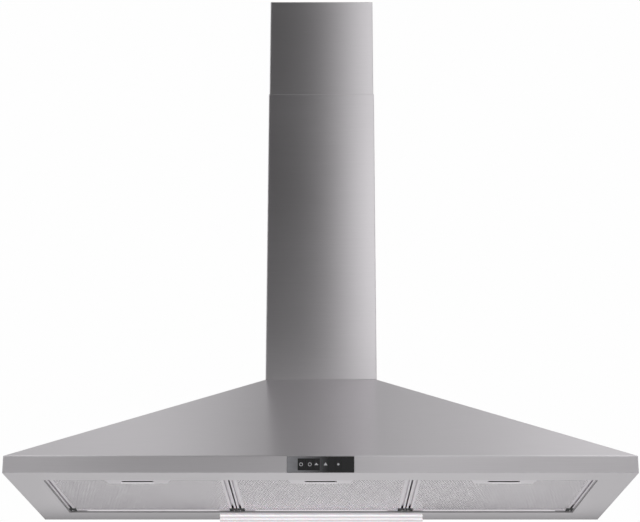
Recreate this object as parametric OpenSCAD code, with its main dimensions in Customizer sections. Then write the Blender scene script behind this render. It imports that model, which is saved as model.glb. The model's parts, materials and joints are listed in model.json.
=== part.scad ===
// Wall mount range hood, all lengths in millimetres.
// +Z is up, the wall is the plane y = 0, the front faces -Y and z = 0 is the underside.

/* [Canopy] */
// Width of the canopy
hood_w = 1200; // [900:10:1200]
// Depth of the canopy from the wall
hood_d = 500; // [470:5:550]
// Height of the upright front band
band_h = 33; // [32:1:45]
// Height of the sloped part above the band
slope_h = 220; // [210:5:260]
// Thickness of the canopy sheet
sheet_t = 1; // [0.8:0.1:1.2]
// Thickness of the back panel
back_t = 1.5; // [1.2:0.1:2]
// Width of the canopy's rear fixing flange
rear_flange = 18; // [14:1:24]

/* [Chimney] */
// Width of the lower chimney section
chimney_w = 232; // [218:1:260]
// Depth of the lower chimney section from the wall
chimney_d = 230; // [226:1:270]
// Length of the lower chimney section
chimney_lower_h = 652; // [560:1:700]
// Length of the upper chimney section
chimney_upper_h = 540; // [480:1:600]
// Height of the upper section that shows above the lower one
chimney_shown = 228; // [160:1:260]
// Thickness of the chimney sheet
chimney_t = 0.8; // [0.6:0.1:1]
// Gap between the two chimney sections
chimney_gap = 0.5; // [0.3:0.1:0.8]
// Width of the chimney's rear returns
return_w = 25; // [18:1:30]
// Number of air slots on each side of the upper section
slot_count = 8; // [4:1:9]
// Length of an air slot
air_slot_l = 90; // [60:5:120]

/* [Underside] */
// Width of the underside in front of the filters
border_front = 69; // [55:1:80]
// Width of the underside beside the filters
border_side = 66; // [50:1:80]
// Width of the underside behind the filters
border_rear = 82; // [78:1:100]
// Height of the turned-up edge round the filter opening
rim_h = 18; // [17.5:0.1:20]
// Height of the filters' lower face above the underside
filter_z = 3; // [2:0.1:3.4]

/* [Filters] */
// Thickness of a filter
filter_t = 9; // [8.6:0.1:9.4]
// Width of the folded frame round a filter
rail_w = 14; // [12:0.5:15]
// Gap between neighbouring filters
filter_gap = 3; // [2:0.5:4]
// Gap between the outer filters and the edge of the opening
filter_side_gap = 2; // [1.5:0.5:3]
// Thickness of the mesh pad
mesh_t = 6; // [5:0.1:6.4]
// Thickness of an outer layer of the mesh pad
layer_t = 0.8; // [0.5:0.1:1.2]
// Spacing of the folds inside the mesh pad
fold_pitch = 20; // [12:1:40]
// Length of a black corner block
corner_l = 34; // [30:1:40]
// Width of a handle plate at the front
handle_w = 127; // [120:1:140]
// Depth of a handle plate
handle_d = 31; // [30.5:0.5:36]
// Width of the finger slot
finger_w = 62; // [56:1:66]
// Depth of the finger slot
finger_d = 13; // [12:0.5:14]
// Radius of a filter's hinge pin
hinge_pin_r = 2.5; // [2:0.1:3]
// Width of a latch tongue
tongue_w = 30; // [20:1:40]
// Travel of a latch
latch_travel = 6; // [5:0.5:6]

/* [Controls] */
// Width of the control fascia
fascia_w = 126; // [120:1:140]
// Width of a key
key_w = 11; // [9:0.5:11]
// Height of a key
key_h = 18; // [14:0.5:20]
// Travel of a key
key_travel = 0.8; // [0.5:0.1:1]
// Radial gap between a key and its window
key_gap = 0.25; // [0.15:0.05:0.35]
// Depth of the control box behind the band
control_box_d = 29; // [26:1:36]

/* [Lamp] */
// Width of the lamp cover
lamp_w = 432; // [380:2:480]
// Depth of the lamp cover
lamp_d = 60; // [50:1:66]
// Height that the lamp cover hangs below the underside
lamp_h = 22; // [18:1:26]
// Wall of the lamp cover
lamp_wall = 2; // [1.5:0.1:2.5]
// Spacing of the ribs on the lamp cover
rib_pitch = 6; // [5:0.5:8]
// Number of lamps on the lamp board
lamp_count = 12; // [6:1:16]

/* [Blower] */
// Radius of the blower wheel
wheel_r = 78; // [74:1:80]
// Radial height of the blades
blade_h = 14; // [10:1:18]
// Number of blades on each side of the wheel
blade_count = 30; // [20:1:36]
// Length of the blades on each side
blade_l = 78; // [70:1:80]
// Thickness of a blade
blade_t = 1.2; // [1:0.1:1.6]
// Width of the volute housing
volute_w = 190; // [184:1:196]
// Wall of the volute housing
volute_t = 2; // [1.5:0.1:2.5]
// Smallest gap between the wheel and the volute
volute_gap = 6; // [5:0.5:7]
// Growth of the volute's radius per quarter turn
volute_step = 10; // [8:0.5:10.5]
// Radius of the inlet rings
inlet_r = 66; // [60:1:70]
// Radius of the motor
motor_r = 42; // [36:1:46]
// Length of the motor
motor_l = 95; // [80:1:100]
// Radius of the motor shaft
shaft_r = 4; // [3:0.5:5]
// Running clearance of shafts and hinge pins
run_gap = 0.05; // [0.02:0.01:0.09]

/* [Outlet] */
// Outer radius of the duct spigot
spigot_r = 74.5; // [62:0.5:75]
// Wall of the duct spigot
spigot_t = 1.5; // [1.2:0.1:2]
// Length of the duct spigot
spigot_h = 42; // [36:1:50]
// Distance of the duct's centre from the wall
duct_y = 106; // [104:1:108]
// Radius of the flap hinge rod
rod_r = 1.5; // [1.2:0.1:2]
// Thickness of a flap
flap_t = 1.5; // [1.2:0.1:2]

/* [Fixings] */
// Distance between the wall holes along X
wall_hole_dx = 320; // [300:5:330]
// Distance between the wall holes along Z
wall_hole_dz = 120; // [100:5:120]
// Height of the lower wall holes
wall_hole_z = 70; // [60:5:80]
// Radius of the wall holes
wall_hole_r = 4; // [3:0.5:5]
// Distance between the slots of the ceiling bracket
bracket_slot_dx = 100; // [80:5:140]
// Height of the ceiling bracket
bracket_h = 38; // [30:1:45]
// Thickness of the ceiling bracket
bracket_t = 1.5; // [1.2:0.1:2]

/* [Hidden] */
$fn = 96;
// reach of an endless cut, overlap of joined forms, overshoot of a cut, gap of a seat
far = 2000;
touch = 0.01;
over = 1;
seat_gap = 0.3;

canopy_h = band_h + slope_h;
chimney_z = canopy_h;
chimney_top = chimney_z + chimney_lower_h + chimney_shown;
slope_side = slope_h / ((hood_w - chimney_w) / 2);
slope_front = slope_h / (hood_d - chimney_d);

inner_x = chimney_w / 2 - chimney_t - chimney_gap;
inner_front = -chimney_d + chimney_t + chimney_gap;
inner_rear = -chimney_t - chimney_gap;
bracket_drop = 2;
bracket_set_back = 30;
screw_back = 58;
screw_front = 50;
air_slot_h = 4;
air_slot_pitch = 12;
air_slot_drop = 62;

open_w = hood_w - 2 * border_side;
open_front_y = border_front - hood_d;

filter_w = (open_w - 2 * filter_side_gap - 2 * filter_gap) / 3;
filter_pitch = filter_w + filter_gap;
pivot_inset = 7;
pivot_y = -border_rear - pivot_inset;
pivot_z = filter_z + filter_t / 2;
filter_rear_y = pivot_y + filter_t / 2;
filter_front_y = open_front_y + 1.5;
corner_w = rail_w + 0.5;
lug_w = 4.5;
lug_cut = 11;
pin_set_in = 0.5;
ear_t = 2;
ear_r = 5;
mesh_z = filter_z + (filter_t - mesh_t) / 2;
groove = 3;
fold_t = 1;
mesh_gap = 0.2;
// rolled bead along the side rails
bead_x = 4;
bead_w = 4.5;
bead_d = 5;
// black strip on the rear edge of the opening
strip_t = 1.2;
strip_low = 0.3;
strip_rise = 1;
divider_w = 24;
divider_h = 3;
divider_t = 1.2;

tongue_t = 2;
tongue_z = filter_z + 3;
tongue_out = latch_travel - 1.5;
tongue_gap = 0.3;
handle_y = filter_front_y + rail_w;
handle_taper = 12;
pocket_wall = 1.2;
pocket_low = 0.5;
pocket_w = 104;
slot_y = handle_y + 7;
latch_w = 56;
lip_t = 2;
latch_y = handle_y + 2;
latch_gap = 0.2;
arm_w = 92;

bracket_x = 240;
bracket_low_z = 90;
hang_w = 50;
hang_h = 62;
hang_t = 2;
hang_rib = 16;
hook_w = 24;
hook_z = 42;
hook_h = 8;
bracket_screws = [10, 30];
collar_h = 18;
collar_t = 1;
collar_foot = 12;
collar_back = 2;
screw_drop = 34;
screw_r = 4;
head_rim = 1.2;
head_dome = 0.9;

band_edge = 1.3;
fascia_h = band_h - 2 * band_edge;
fascia_z = band_h / 2;
fascia_proud = 0.5;
band_y = -hood_d + sheet_t;
key_x = [-36.7, -20.2, -7.9, 9.6, 33.5];
key_proud = 0.3;
key_flange = 1.2;
key_lap = 1.5;
key_rest = 0.3;
stem_r = 2.5;
window_gap = 0.3;
box_flange = 8;
box_w = fascia_w + 18;
box_wall = 2;
box_z = sheet_t;
box_h = band_h - 2.2 - sheet_t;
board_y = band_y + 9;
board_t = 1.6;
switch_w = 6;
switch_d = 2;

lamp_rear_y = -6;
lamp_front_y = lamp_rear_y - lamp_d;
lamp_round = 8;
tray_t = 1.2;
tray_h = 8;
lamp_board_d = 18;
lamp_board_inset = 16;
lamp_size = 5;
lamp_rise = 1;
rib_r = 0.8;
rib_out = 0.3;
rib_drop = 3;

volute_r = wheel_r + volute_gap;
plate_t = 2;
inlet_ring_l = 8;
inlet_ring_t = 2;
flange_t = 3;
flange_w = 10;
screw_inset = 20;
flange_screw_r = 3.6;
outlet_top = canopy_h - sheet_t - flange_t;
outlet_rear = 2.5 * volute_step + volute_r;
outlet_front = -51;
outlet_neck = 8;
outlet_rise = 108;
wheel_z = outlet_top - outlet_rise;
wheel_y = -duct_y - (outlet_rear + outlet_front) / 2;
plate_hole = 156;
spigot_flange = 88;
spigot_flange_t = 2;
flap_z = canopy_h + spigot_flange_t + 12;
flap_r = spigot_r - spigot_t - 1.5;
flap_gap = 0.4;
knuckle_r = 3.2;
knuckle_l = 26;
knuckle_strap = 2;
knuckle_x = [-15, 45];
motor_x = -45;
motor_edge = 5;
motor_foot = 6;
motor_foot_t = 3;
boss_r = 9;
boss_l = 4;
mount_x = -volute_w / 2 - plate_t;
mount_t = 3;
mount_rim = 12;
mount_hub = 7;
mount_arm_w = 14;
shaft_set_in = 8;
shaft_end = 16;
blade_set_in = 0.5;
blade_sweep = 0.7;
wheel_ring_l = 4;
wheel_disc_t = 3;
hub_r = 12;
hub_l = 24;
press_fit = 0.02;

capacitor_r = 16;
capacitor_l = 50;
capacitor_x = 206;
capacitor_z = 32;
terminal_h = 3;
clamp_z = 18;
clamp_h = 12;
clamp_t = 1;

electronics = [[-405, 30], [-275, 86]];
electronics_d = 42;
electronics_wall = 2;
lid_t = 2;
lid_rim = 5;
lid_rim_t = 1.7;
slot_end = 6;

steel = "#B9BABC";
steel_dark = "#8C8D90";
zinc = "#A9AEB2";
aluminium = "#C9CBCD";
black = "#26262A";
grey = "#6E7074";
white = "#F1F1EC";

// Box from two opposite corners
module block(a, b) {
    translate(a) cube([b[0] - a[0], b[1] - a[1], b[2] - a[2]]);
}

// Two copies mirrored left and right
module both_sides() {
    children();
    mirror([1, 0, 0]) children();
}

// Outline in the X-Z plane drawn from y = back to y = front
module front_profile(points, front, back) {
    translate([0, back, 0]) rotate([90, 0, 0]) linear_extrude(back - front) polygon(points);
}

// Outline in the Y-Z plane drawn over the width w
module side_profile(points, w) {
    translate([-w / 2, 0, 0]) rotate([90, 0, 90]) linear_extrude(w) polygon(points);
}

// Cylinder along X, centred on x
module bar_x(r, l, x = 0, y = 0, z = 0) {
    translate([x - l / 2, y, z]) rotate([0, 90, 0]) cylinder(r = r, h = l);
}

// Cylinder along Y from y towards +Y
module bar_y(r, l, x = 0, y = 0, z = 0) {
    translate([x, y, z]) rotate([-90, 0, 0]) cylinder(r = r, h = l);
}

// Canopy outline seen from the front, drawn in by the sheet thickness t
function canopy_front(t) = let (
    side = hood_w / 2 - t,
    drop = t * sqrt(1 + slope_side * slope_side),
    band_top = band_h - drop + t * slope_side,
    top = canopy_h - t,
    top_x = hood_w / 2 - (top - band_h + drop) / slope_side,
    low = t > 0 ? -over : 0
) [[-side, low], [side, low], [side, band_top], [top_x, top], [-top_x, top], [-side, band_top]];

// Canopy outline seen from the side, drawn in by t, ending at y = rear
function canopy_side(t, rear) = let (
    front = t - hood_d,
    drop = t * sqrt(1 + slope_front * slope_front),
    band_top = band_h - drop + t * slope_front,
    top = canopy_h - t,
    top_y = -hood_d + (top - band_h + drop) / slope_front,
    low = t > 0 ? -over : 0
) [[front, low], [rear, low], [rear, top], [top_y, top], [front, band_top]];

module canopy_solid(t, rear) {
    intersection() {
        front_profile(canopy_front(t), -hood_d - over, over);
        side_profile(canopy_side(t, rear), hood_w + 2 * over);
    }
}

module canopy_shell() {
    rear = -back_t;
    color(steel) difference() {
        canopy_solid(0, rear);
        canopy_solid(sheet_t, rear - sheet_t);
        // way through the rear, inside the fixing flange
        intersection() {
            canopy_solid(rear_flange, over);
            block([-far, -back_t - 2 * sheet_t, -far], [far, over, far]);
        }
        // seat of the underside panel
        block([-hood_w / 2 + sheet_t, sheet_t - hood_d, -over],
              [hood_w / 2 - sheet_t, over, sheet_t]);
        // air way in the top plate
        block([-plate_hole / 2, -duct_y - plate_hole / 2, canopy_h - sheet_t - over],
              [plate_hole / 2, -duct_y + plate_hole / 2, canopy_h + over]);
        // window of the control fascia
        block([-fascia_w / 2 - window_gap, -hood_d - over, fascia_z - fascia_h / 2 - window_gap],
              [fascia_w / 2 + window_gap, band_y + over, fascia_z + fascia_h / 2 + window_gap]);
    }
}

module wall_hole_places() {
    for (x = [-1, 1], z = [wall_hole_z, wall_hole_z + wall_hole_dz])
        translate([x * wall_hole_dx / 2, 0, z]) children();
}

module back_panel() {
    color(zinc) difference() {
        intersection() {
            front_profile(canopy_front(0), -back_t, 0);
            block([-hood_w / 2, -back_t, 0], [hood_w / 2, 0, canopy_h]);
        }
        wall_hole_places() bar_y(wall_hole_r, back_t + 2 * over, 0, -back_t - over);
    }
}

// Latch windows in the front edge of the filter opening
module tongue_windows(y0, y1) {
    for (i = [-1, 0, 1])
        block([i * filter_pitch - tongue_w / 2 - tongue_gap, y0, tongue_z - tongue_gap],
              [i * filter_pitch + tongue_w / 2 + tongue_gap, y1, tongue_z + tongue_t + tongue_gap]);
}

// Hinge ear for a filter's pin at x, reaching forward from the rear edge
module filter_ear(x) {
    difference() {
        union() {
            bar_x(ear_r, ear_t, x, pivot_y, pivot_z);
            block([x - ear_t / 2, pivot_y, pivot_z - ear_r],
                  [x + ear_t / 2, -border_rear + touch, pivot_z + ear_r]);
        }
        bar_x(hinge_pin_r + run_gap, ear_t + 2 * over, x, pivot_y, pivot_z);
    }
}

// Distance of an ear from the middle of its filter
function ear_x(side) = side * (filter_w / 2 - (corner_w - lug_w) / 2);

module underside_panel() {
    half = open_w / 2;
    color(steel) union() {
        difference() {
            union() {
                block([-hood_w / 2 + sheet_t, band_y, 0], [hood_w / 2 - sheet_t, -back_t, sheet_t]);
                block([-half - sheet_t, open_front_y - sheet_t, 0],
                      [half + sheet_t, -border_rear + sheet_t, rim_h]);
            }
            block([-half, open_front_y, -over], [half, -border_rear, rim_h + over]);
            tongue_windows(open_front_y - sheet_t - over, open_front_y + over);
        }
        for (i = [-1, 0, 1], side = [-1, 1]) filter_ear(i * filter_pitch + ear_x(side));
    }
}

module divider_bars() {
    x = filter_pitch / 2;
    half = divider_w / 2;
    color(steel_dark) both_sides()
        difference() {
            block([x - half, open_front_y, rim_h - divider_h], [x + half, -border_rear, rim_h]);
            block([x - half + divider_t, open_front_y - over, rim_h - divider_h + divider_t],
                  [x + half - divider_t, -border_rear + over, rim_h + over]);
        }
}

// Black sealing strip on the rear edge of the opening, notched round the hinge ears
module rear_strip() {
    half = open_w / 2 - seat_gap;
    top = filter_z + strip_rise;
    notch = ear_t / 2 + seat_gap;
    color(black) difference() {
        block([-half, -border_rear - strip_t, strip_low], [half, -border_rear, top]);
        for (i = [-1, 0, 1], side = [-1, 1]) {
            x = i * filter_pitch + ear_x(side);
            block([x - notch, -border_rear - strip_t - over, pivot_z - ear_r - seat_gap],
                  [x + notch, 0, top + over]);
        }
    }
}

// Collar on the canopy's top plate that the lower chimney section slips over
module chimney_collar() {
    in = chimney_t + seat_gap;
    x = chimney_w / 2 - in;
    y = in - chimney_d;
    color(zinc) difference() {
        block([-x, y, chimney_z], [x, -back_t - collar_back, chimney_z + collar_h]);
        block([-x + collar_t, y + collar_t, chimney_z + collar_t], [x - collar_t, over, far]);
        block([-x + collar_foot, y + collar_foot, chimney_z - over],
              [x - collar_foot, over, far]);
    }
}

// Hanging bracket on the back panel: a bent plate with a hook slot and two ribs
module hanging_bracket(x) {
    z0 = bracket_low_z;
    half_t = hang_t / 2;
    color(zinc) difference() {
        union() {
            block([x - hang_w / 2, -back_t - hang_t, z0], [x + hang_w / 2, -back_t, z0 + hang_h]);
            for (rib_x = [x - hang_w / 2 + half_t, x + hang_w / 2 - half_t])
                block([rib_x - half_t, -back_t - hang_rib, z0],
                      [rib_x + half_t, -back_t, z0 + hang_h]);
        }
        block([x - hook_w / 2, -back_t - hang_t - over, z0 + hook_z],
              [x + hook_w / 2, -back_t + over, z0 + hook_z + hook_h]);
    }
}

module hanging_bracket_left() { hanging_bracket(-bracket_x); }
module hanging_bracket_right() { hanging_bracket(bracket_x); }

// Pan head with a cross recess, standing on z = 0
module pan_head(r) {
    recess = head_rim + head_dome / 3;
    difference() {
        union() {
            cylinder(r = r, h = head_rim);
            translate([0, 0, head_rim]) cylinder(r1 = r, r2 = r - head_rim, h = head_dome);
        }
        for (a = [0, 90])
            rotate([0, 0, a]) block([-r / 2, -r / 8, recess], [r / 2, r / 8, recess + over]);
    }
}

// Pan head lying against the face at y, pointing to the front
module pan_head_y(x, y, z) {
    translate([x, y, z]) rotate([90, 0, 0]) pan_head(screw_r);
}

// Middle of the rear fixing flange along the slope, at the height z
function flange_x(z) = hood_w / 2 - (z - band_h) / slope_side
    - rear_flange / 2 * sqrt(1 + slope_side * slope_side) / slope_side;

module canopy_screws() {
    y = -back_t - sheet_t;
    upper_z = canopy_h - screw_drop;
    color(zinc) for (s = [-1, 1]) {
        pan_head_y(s * (hood_w / 2 - rear_flange / 2), y, band_h / 2);
        pan_head_y(s * flange_x(upper_z), y, upper_z);
        for (z = bracket_screws) pan_head_y(s * bracket_x, -back_t - hang_t, bracket_low_z + z);
    }
}

module control_box() {
    w = box_w / 2;
    y1 = band_y + control_box_d;
    color(black) difference() {
        union() {
            block([-w, band_y, box_z], [w, band_y + box_wall, box_z + box_h]);
            block([-w + box_flange, band_y, box_z], [w - box_flange, y1, box_z + box_h]);
        }
        block([-w + box_flange + box_wall, band_y - over, box_z + box_wall],
              [w - box_flange - box_wall, y1 - box_wall, box_z + box_h - box_wall]);
    }
}

module key_window(x, gap, y0, y1) {
    block([x - key_w / 2 - gap, y0, fascia_z - key_h / 2 - gap],
          [x + key_w / 2 + gap, y1, fascia_z + key_h / 2 + gap]);
}

module control_fascia() {
    color(black) difference() {
        block([-fascia_w / 2, -hood_d - fascia_proud, fascia_z - fascia_h / 2],
              [fascia_w / 2, band_y, fascia_z + fascia_h / 2]);
        for (x = key_x) key_window(x, key_gap, -hood_d - fascia_proud - over, band_y + over);
    }
}

module control_board() {
    w = box_w / 2 - box_flange - box_wall;
    half = switch_w / 2;
    color("#2F6B45") union() {
        block([-w, board_y, box_z + box_wall], [w, board_y + board_t, box_z + box_h - box_wall]);
        for (x = key_x) block([x - half, board_y - switch_d, fascia_z - half],
                              [x + half, board_y + touch, fascia_z + half]);
    }
}

// A key: its face in the window, a flange behind the fascia and a stem to its switch
module key(i) {
    x = key_x[i];
    back = band_y + key_rest;
    color(black) union() {
        key_window(x, 0, -hood_d - fascia_proud - key_proud, back);
        block([x - key_w / 2, back - touch, fascia_z - key_h / 2 - key_lap],
              [x + key_w / 2, back + key_flange, fascia_z + key_h / 2 + key_lap]);
        bar_y(stem_r, board_y - switch_d - key_rest - key_travel - back, x, back, fascia_z);
    }
}

module key_power() { key(0); }
module key_speed() { key(1); }
module key_down() { key(2); }
module key_up() { key(3); }
module key_light() { key(4); }

// Lamp cover's cross-section outline, drawn in by t
module lamp_section(t) {
    front = lamp_front_y + t;
    rear = lamp_rear_y - t;
    low = -lamp_h + t;
    r = lamp_round - t;
    union() {
        translate([front, low + r]) square([rear - front, -low - r]);
        translate([front + r, low]) square([rear - front - 2 * r, r + touch]);
        for (y = [front + r, rear - r]) translate([y, low + r]) circle(r);
    }
}

module lamp_tray() {
    in = lamp_wall + seat_gap;
    w = lamp_w / 2 - in;
    color(zinc) difference() {
        block([-w, lamp_front_y + in, -tray_h], [w, lamp_rear_y - in, 0]);
        block([-w + tray_t, lamp_front_y + in + tray_t, -tray_h - over],
              [w - tray_t, lamp_rear_y - in - tray_t, -tray_t]);
    }
}

module lamp_board() {
    y = (lamp_front_y + lamp_rear_y) / 2;
    half = lamp_board_d / 2;
    w = lamp_w - 2 * lamp_board_inset;
    chip = lamp_size / 2;
    color(white) union() {
        block([-w / 2, y - half, -tray_t - board_t], [w / 2, y + half, -tray_t]);
        for (i = [0 : lamp_count - 1])
            translate([(i - (lamp_count - 1) / 2) * w / lamp_count, y, -tray_t - board_t])
                block([-chip, -chip, -lamp_rise], [chip, chip, touch]);
    }
}

module lamp_cover() {
    front_ribs = floor((lamp_h - lamp_round) / rib_pitch);
    low_ribs = floor((lamp_d - 2 * lamp_round) / rib_pitch / 2);
    y = (lamp_front_y + lamp_rear_y) / 2;
    color(white) difference() {
        translate([-lamp_w / 2, 0, 0]) rotate([90, 0, 90]) linear_extrude(lamp_w) lamp_section(0);
        translate([-lamp_w / 2 + lamp_wall, 0, 0]) rotate([90, 0, 90])
            linear_extrude(lamp_w - 2 * lamp_wall)
                union() {
                    lamp_section(lamp_wall);
                    translate([lamp_front_y + lamp_wall, -lamp_wall - over])
                        square([lamp_d - 2 * lamp_wall, lamp_wall + 2 * over]);
                }
        for (i = [0 : front_ribs])
            bar_x(rib_r, lamp_w + 2 * over, 0, lamp_front_y - rib_out, -rib_drop - i * rib_pitch);
        for (i = [-low_ribs : low_ribs])
            bar_x(rib_r, lamp_w + 2 * over, 0, y + i * rib_pitch, -lamp_h - rib_out);
    }
}

// Height of the outlet's sloped front wall over y, moved out by t
function lip_height(y, t) = let (
    top = outlet_rise - outlet_neck,
    fall = (top - volute_r + volute_step / 2 + 2) / (-volute_step / 2 - outlet_front)
) top - fall * (y - outlet_front) - t * sqrt(1 + fall * fall);

// Volute outline by the square method: three quarter arcs that grow by one step
// each, with the outlet going up behind the wheel
module volute_outline(t) {
    s = volute_step / 2;
    top = outlet_rise;
    front = outlet_front - t;
    for (q = [[-s, -s, 0, 90], [s, -s, 1, 180], [s, s, 2, 270]])
        translate([q[0], q[1]]) intersection() {
            circle(volute_r + q[2] * volute_step + t);
            rotate(q[3]) translate([-touch, -touch]) square(far);
        }
    translate([-s - touch, -s - touch]) square(2 * s + 2 * touch);
    polygon([[-s, -s], [outlet_rear + t, s], [outlet_rear + t, top], [front, top],
             [front, lip_height(front, t)], [-s, lip_height(-s, t)]]);
}

// Places its outline in the Y-Z plane round the wheel's axis, from x = x0 to x1
module volute_place(x0, x1) {
    translate([x0, wheel_y, wheel_z]) rotate([90, 0, 90]) linear_extrude(x1 - x0) children();
}

module volute_housing() {
    w = volute_w / 2;
    x = w + flange_w;
    y0 = wheel_y + outlet_front - flange_w;
    y1 = wheel_y + outlet_rear + flange_w;
    z0 = outlet_top;
    color(grey) difference() {
        union() {
            volute_place(-w, w) volute_outline(volute_t);
            block([-x, y0, z0 - touch], [x, y1, z0 + flange_t]);
        }
        volute_place(-w - over, w + over) volute_outline(0);
        block([-w + volute_t, wheel_y + outlet_front, z0 - 2 * over],
              [w - volute_t, wheel_y + outlet_rear, z0 + flange_t + over]);
    }
}

// Side plate with its inlet ring, the outlet's side included
module volute_side(side) {
    w = volute_w / 2;
    x0 = side > 0 ? w : -w - plate_t;
    x1 = x0 + plate_t;
    color(grey) difference() {
        union() {
            volute_place(x0, x1) intersection() {
                volute_outline(volute_t);
                translate([-far / 2, -far / 2])
                    square([far, far / 2 + outlet_rise - seat_gap]);
            }
            bar_x(inlet_r + inlet_ring_t, inlet_ring_l, side * (w + 1 - inlet_ring_l / 2),
                  wheel_y, wheel_z);
        }
        bar_x(inlet_r, 4 * inlet_ring_l, side * w, wheel_y, wheel_z);
    }
}

module volute_side_left() { volute_side(-1); }
module volute_side_right() { volute_side(1); }

module motor_mount() {
    ring_r = inlet_r + mount_rim;
    half = mount_arm_w / 2;
    x = mount_x - mount_t / 2;
    color(steel_dark) difference() {
        union() {
            difference() {
                bar_x(ring_r, mount_t, x, wheel_y, wheel_z);
                bar_x(inlet_r + 1, mount_t + 2 * over, x, wheel_y, wheel_z);
            }
            for (a = [90, 210, 330])
                translate([x, wheel_y, wheel_z]) rotate([a, 0, 0])
                    block([-mount_t / 2, -half, motor_r], [mount_t / 2, half, ring_r - 2]);
            bar_x(motor_r + mount_hub, mount_t, x, wheel_y, wheel_z);
        }
        bar_x(motor_r + seat_gap, mount_t + 2 * over, x, wheel_y, wheel_z);
    }
}

module motor() {
    x0 = motor_x - motor_l;
    foot_x = mount_x - mount_t - motor_foot_t / 2;
    e = motor_edge;
    color(zinc) difference() {
        union() {
            translate([x0, wheel_y, wheel_z]) rotate([90, 0, 90]) rotate_extrude()
                polygon([[0, 0], [motor_r - e, 0], [motor_r, e], [motor_r, motor_l - e],
                         [motor_r - e, motor_l], [0, motor_l]]);
            bar_x(motor_r + motor_foot, motor_foot_t, foot_x, wheel_y, wheel_z);
            bar_x(boss_r, boss_l, motor_x + boss_l / 2 - 0.1, wheel_y, wheel_z);
        }
        bar_x(shaft_r + run_gap, 2 * motor_l, motor_x - motor_l / 2, wheel_y, wheel_z);
    }
}

module motor_shaft() {
    x0 = motor_x - motor_l + shaft_set_in;
    color(steel) bar_x(shaft_r, shaft_end - x0, (x0 + shaft_end) / 2, wheel_y, wheel_z);
}

// One forward-curved blade: an arc of sheet that leaves the inner circle along the
// radius and bends towards the way the wheel turns
module blade_outline() {
    inner_r = wheel_r - blade_h;
    curve_r = blade_h - blade_set_in;
    intersection() {
        translate([inner_r, curve_r]) difference() {
            circle(curve_r);
            circle(curve_r - blade_t);
        }
        translate([inner_r, 0]) square([blade_h, blade_sweep * curve_r]);
    }
}

// Places its forms on the wheel's axis
module on_wheel() {
    translate([0, wheel_y, wheel_z]) children();
}

// Middle disc with the hub that is pressed on the shaft
module wheel_disc() {
    color(grey) on_wheel() difference() {
        union() {
            bar_x(wheel_r, wheel_disc_t);
            bar_x(hub_r, hub_l);
        }
        bar_x(shaft_r + press_fit, 2 * hub_l);
    }
}

// Blades between the disc and the end rings, a full circle on each side
module wheel_blades() {
    inner = wheel_disc_t / 2;
    outer = blade_l - wheel_ring_l / 2;
    color(grey) on_wheel()
        for (start = [-outer, inner])
            translate([start, 0, 0]) rotate([90, 0, 90]) linear_extrude(outer - inner)
                for (i = [0 : blade_count - 1]) rotate(i * 360 / blade_count) blade_outline();
}

// End rings that the blades' tips are fixed in
module wheel_rings() {
    color(grey) on_wheel() for (side = [-1, 1]) difference() {
        bar_x(wheel_r, wheel_ring_l, side * blade_l);
        bar_x(wheel_r - blade_h + 1, wheel_ring_l + 2 * over, side * blade_l);
    }
}

module blower_screws() {
    z = outlet_top - touch;
    y0 = wheel_y + outlet_front - flange_w;
    y1 = wheel_y + outlet_rear + flange_w;
    color(zinc) for (x = [-1, 1], y = [y0 + screw_inset, y1 - screw_inset])
        translate([x * (volute_w / 2 + plate_t + flange_screw_r + 0.4), y, z])
            rotate([180, 0, 0]) pan_head(flange_screw_r);
}

module duct_spigot() {
    z0 = canopy_h;
    z1 = z0 + spigot_flange_t;
    f = spigot_flange;
    color(grey) translate([0, -duct_y, 0]) union() {
        difference() {
            union() {
                block([-f, -f, z0], [f, f, z1]);
                translate([0, 0, z0]) cylinder(r = spigot_r, h = spigot_h + spigot_flange_t);
            }
            translate([0, 0, z0 - over]) cylinder(r = spigot_r - spigot_t, h = 2 * spigot_h);
        }
        bar_x(rod_r, 2 * (spigot_r - spigot_t / 2), 0, 0, flap_z);
    }
}

// Half-round flap on its side of the rod, with two knuckles round the rod
module flap(side) {
    cut_y = knuckle_r + flap_gap;
    strap_y = knuckle_r + knuckle_strap;
    color(aluminium) translate([0, -duct_y, flap_z]) difference() {
        union() {
            difference() {
                translate([0, 0, -flap_t / 2]) cylinder(r = flap_r, h = flap_t);
                block([-far, side > 0 ? -far : -cut_y, -far], [far, side > 0 ? cut_y : far, far]);
            }
            for (x = side * knuckle_x) {
                bar_x(knuckle_r, knuckle_l, x);
                block([x - knuckle_l / 2, side > 0 ? 0 : -strap_y, -flap_t / 2],
                      [x + knuckle_l / 2, side > 0 ? strap_y : 0, flap_t / 2]);
            }
        }
        bar_x(rod_r + run_gap, 3 * flap_r);
    }
}

module flap_front() { flap(-1); }
module flap_rear() { flap(1); }

// Run capacitor in its clamp on the back panel
module capacitor() {
    r = capacitor_r;
    color(black) translate([capacitor_x, -back_t - clamp_t - r, capacitor_z]) union() {
        cylinder(r = r, h = capacitor_l);
        translate([0, 0, capacitor_l - touch]) cylinder(r = r - 2, h = terminal_h);
        translate([0, 0, clamp_z]) cylinder(r = r + clamp_t, h = clamp_h);
    }
}

module electronics_box() {
    a = electronics[0];
    b = electronics[1];
    w = electronics_wall;
    y0 = -back_t - electronics_d;
    color(grey) difference() {
        block([a[0], y0, a[1]], [b[0], -back_t, b[1]]);
        block([a[0] + w, y0 - over, a[1] + w], [b[0] - w, -back_t - w, b[1] - w]);
    }
}

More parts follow.
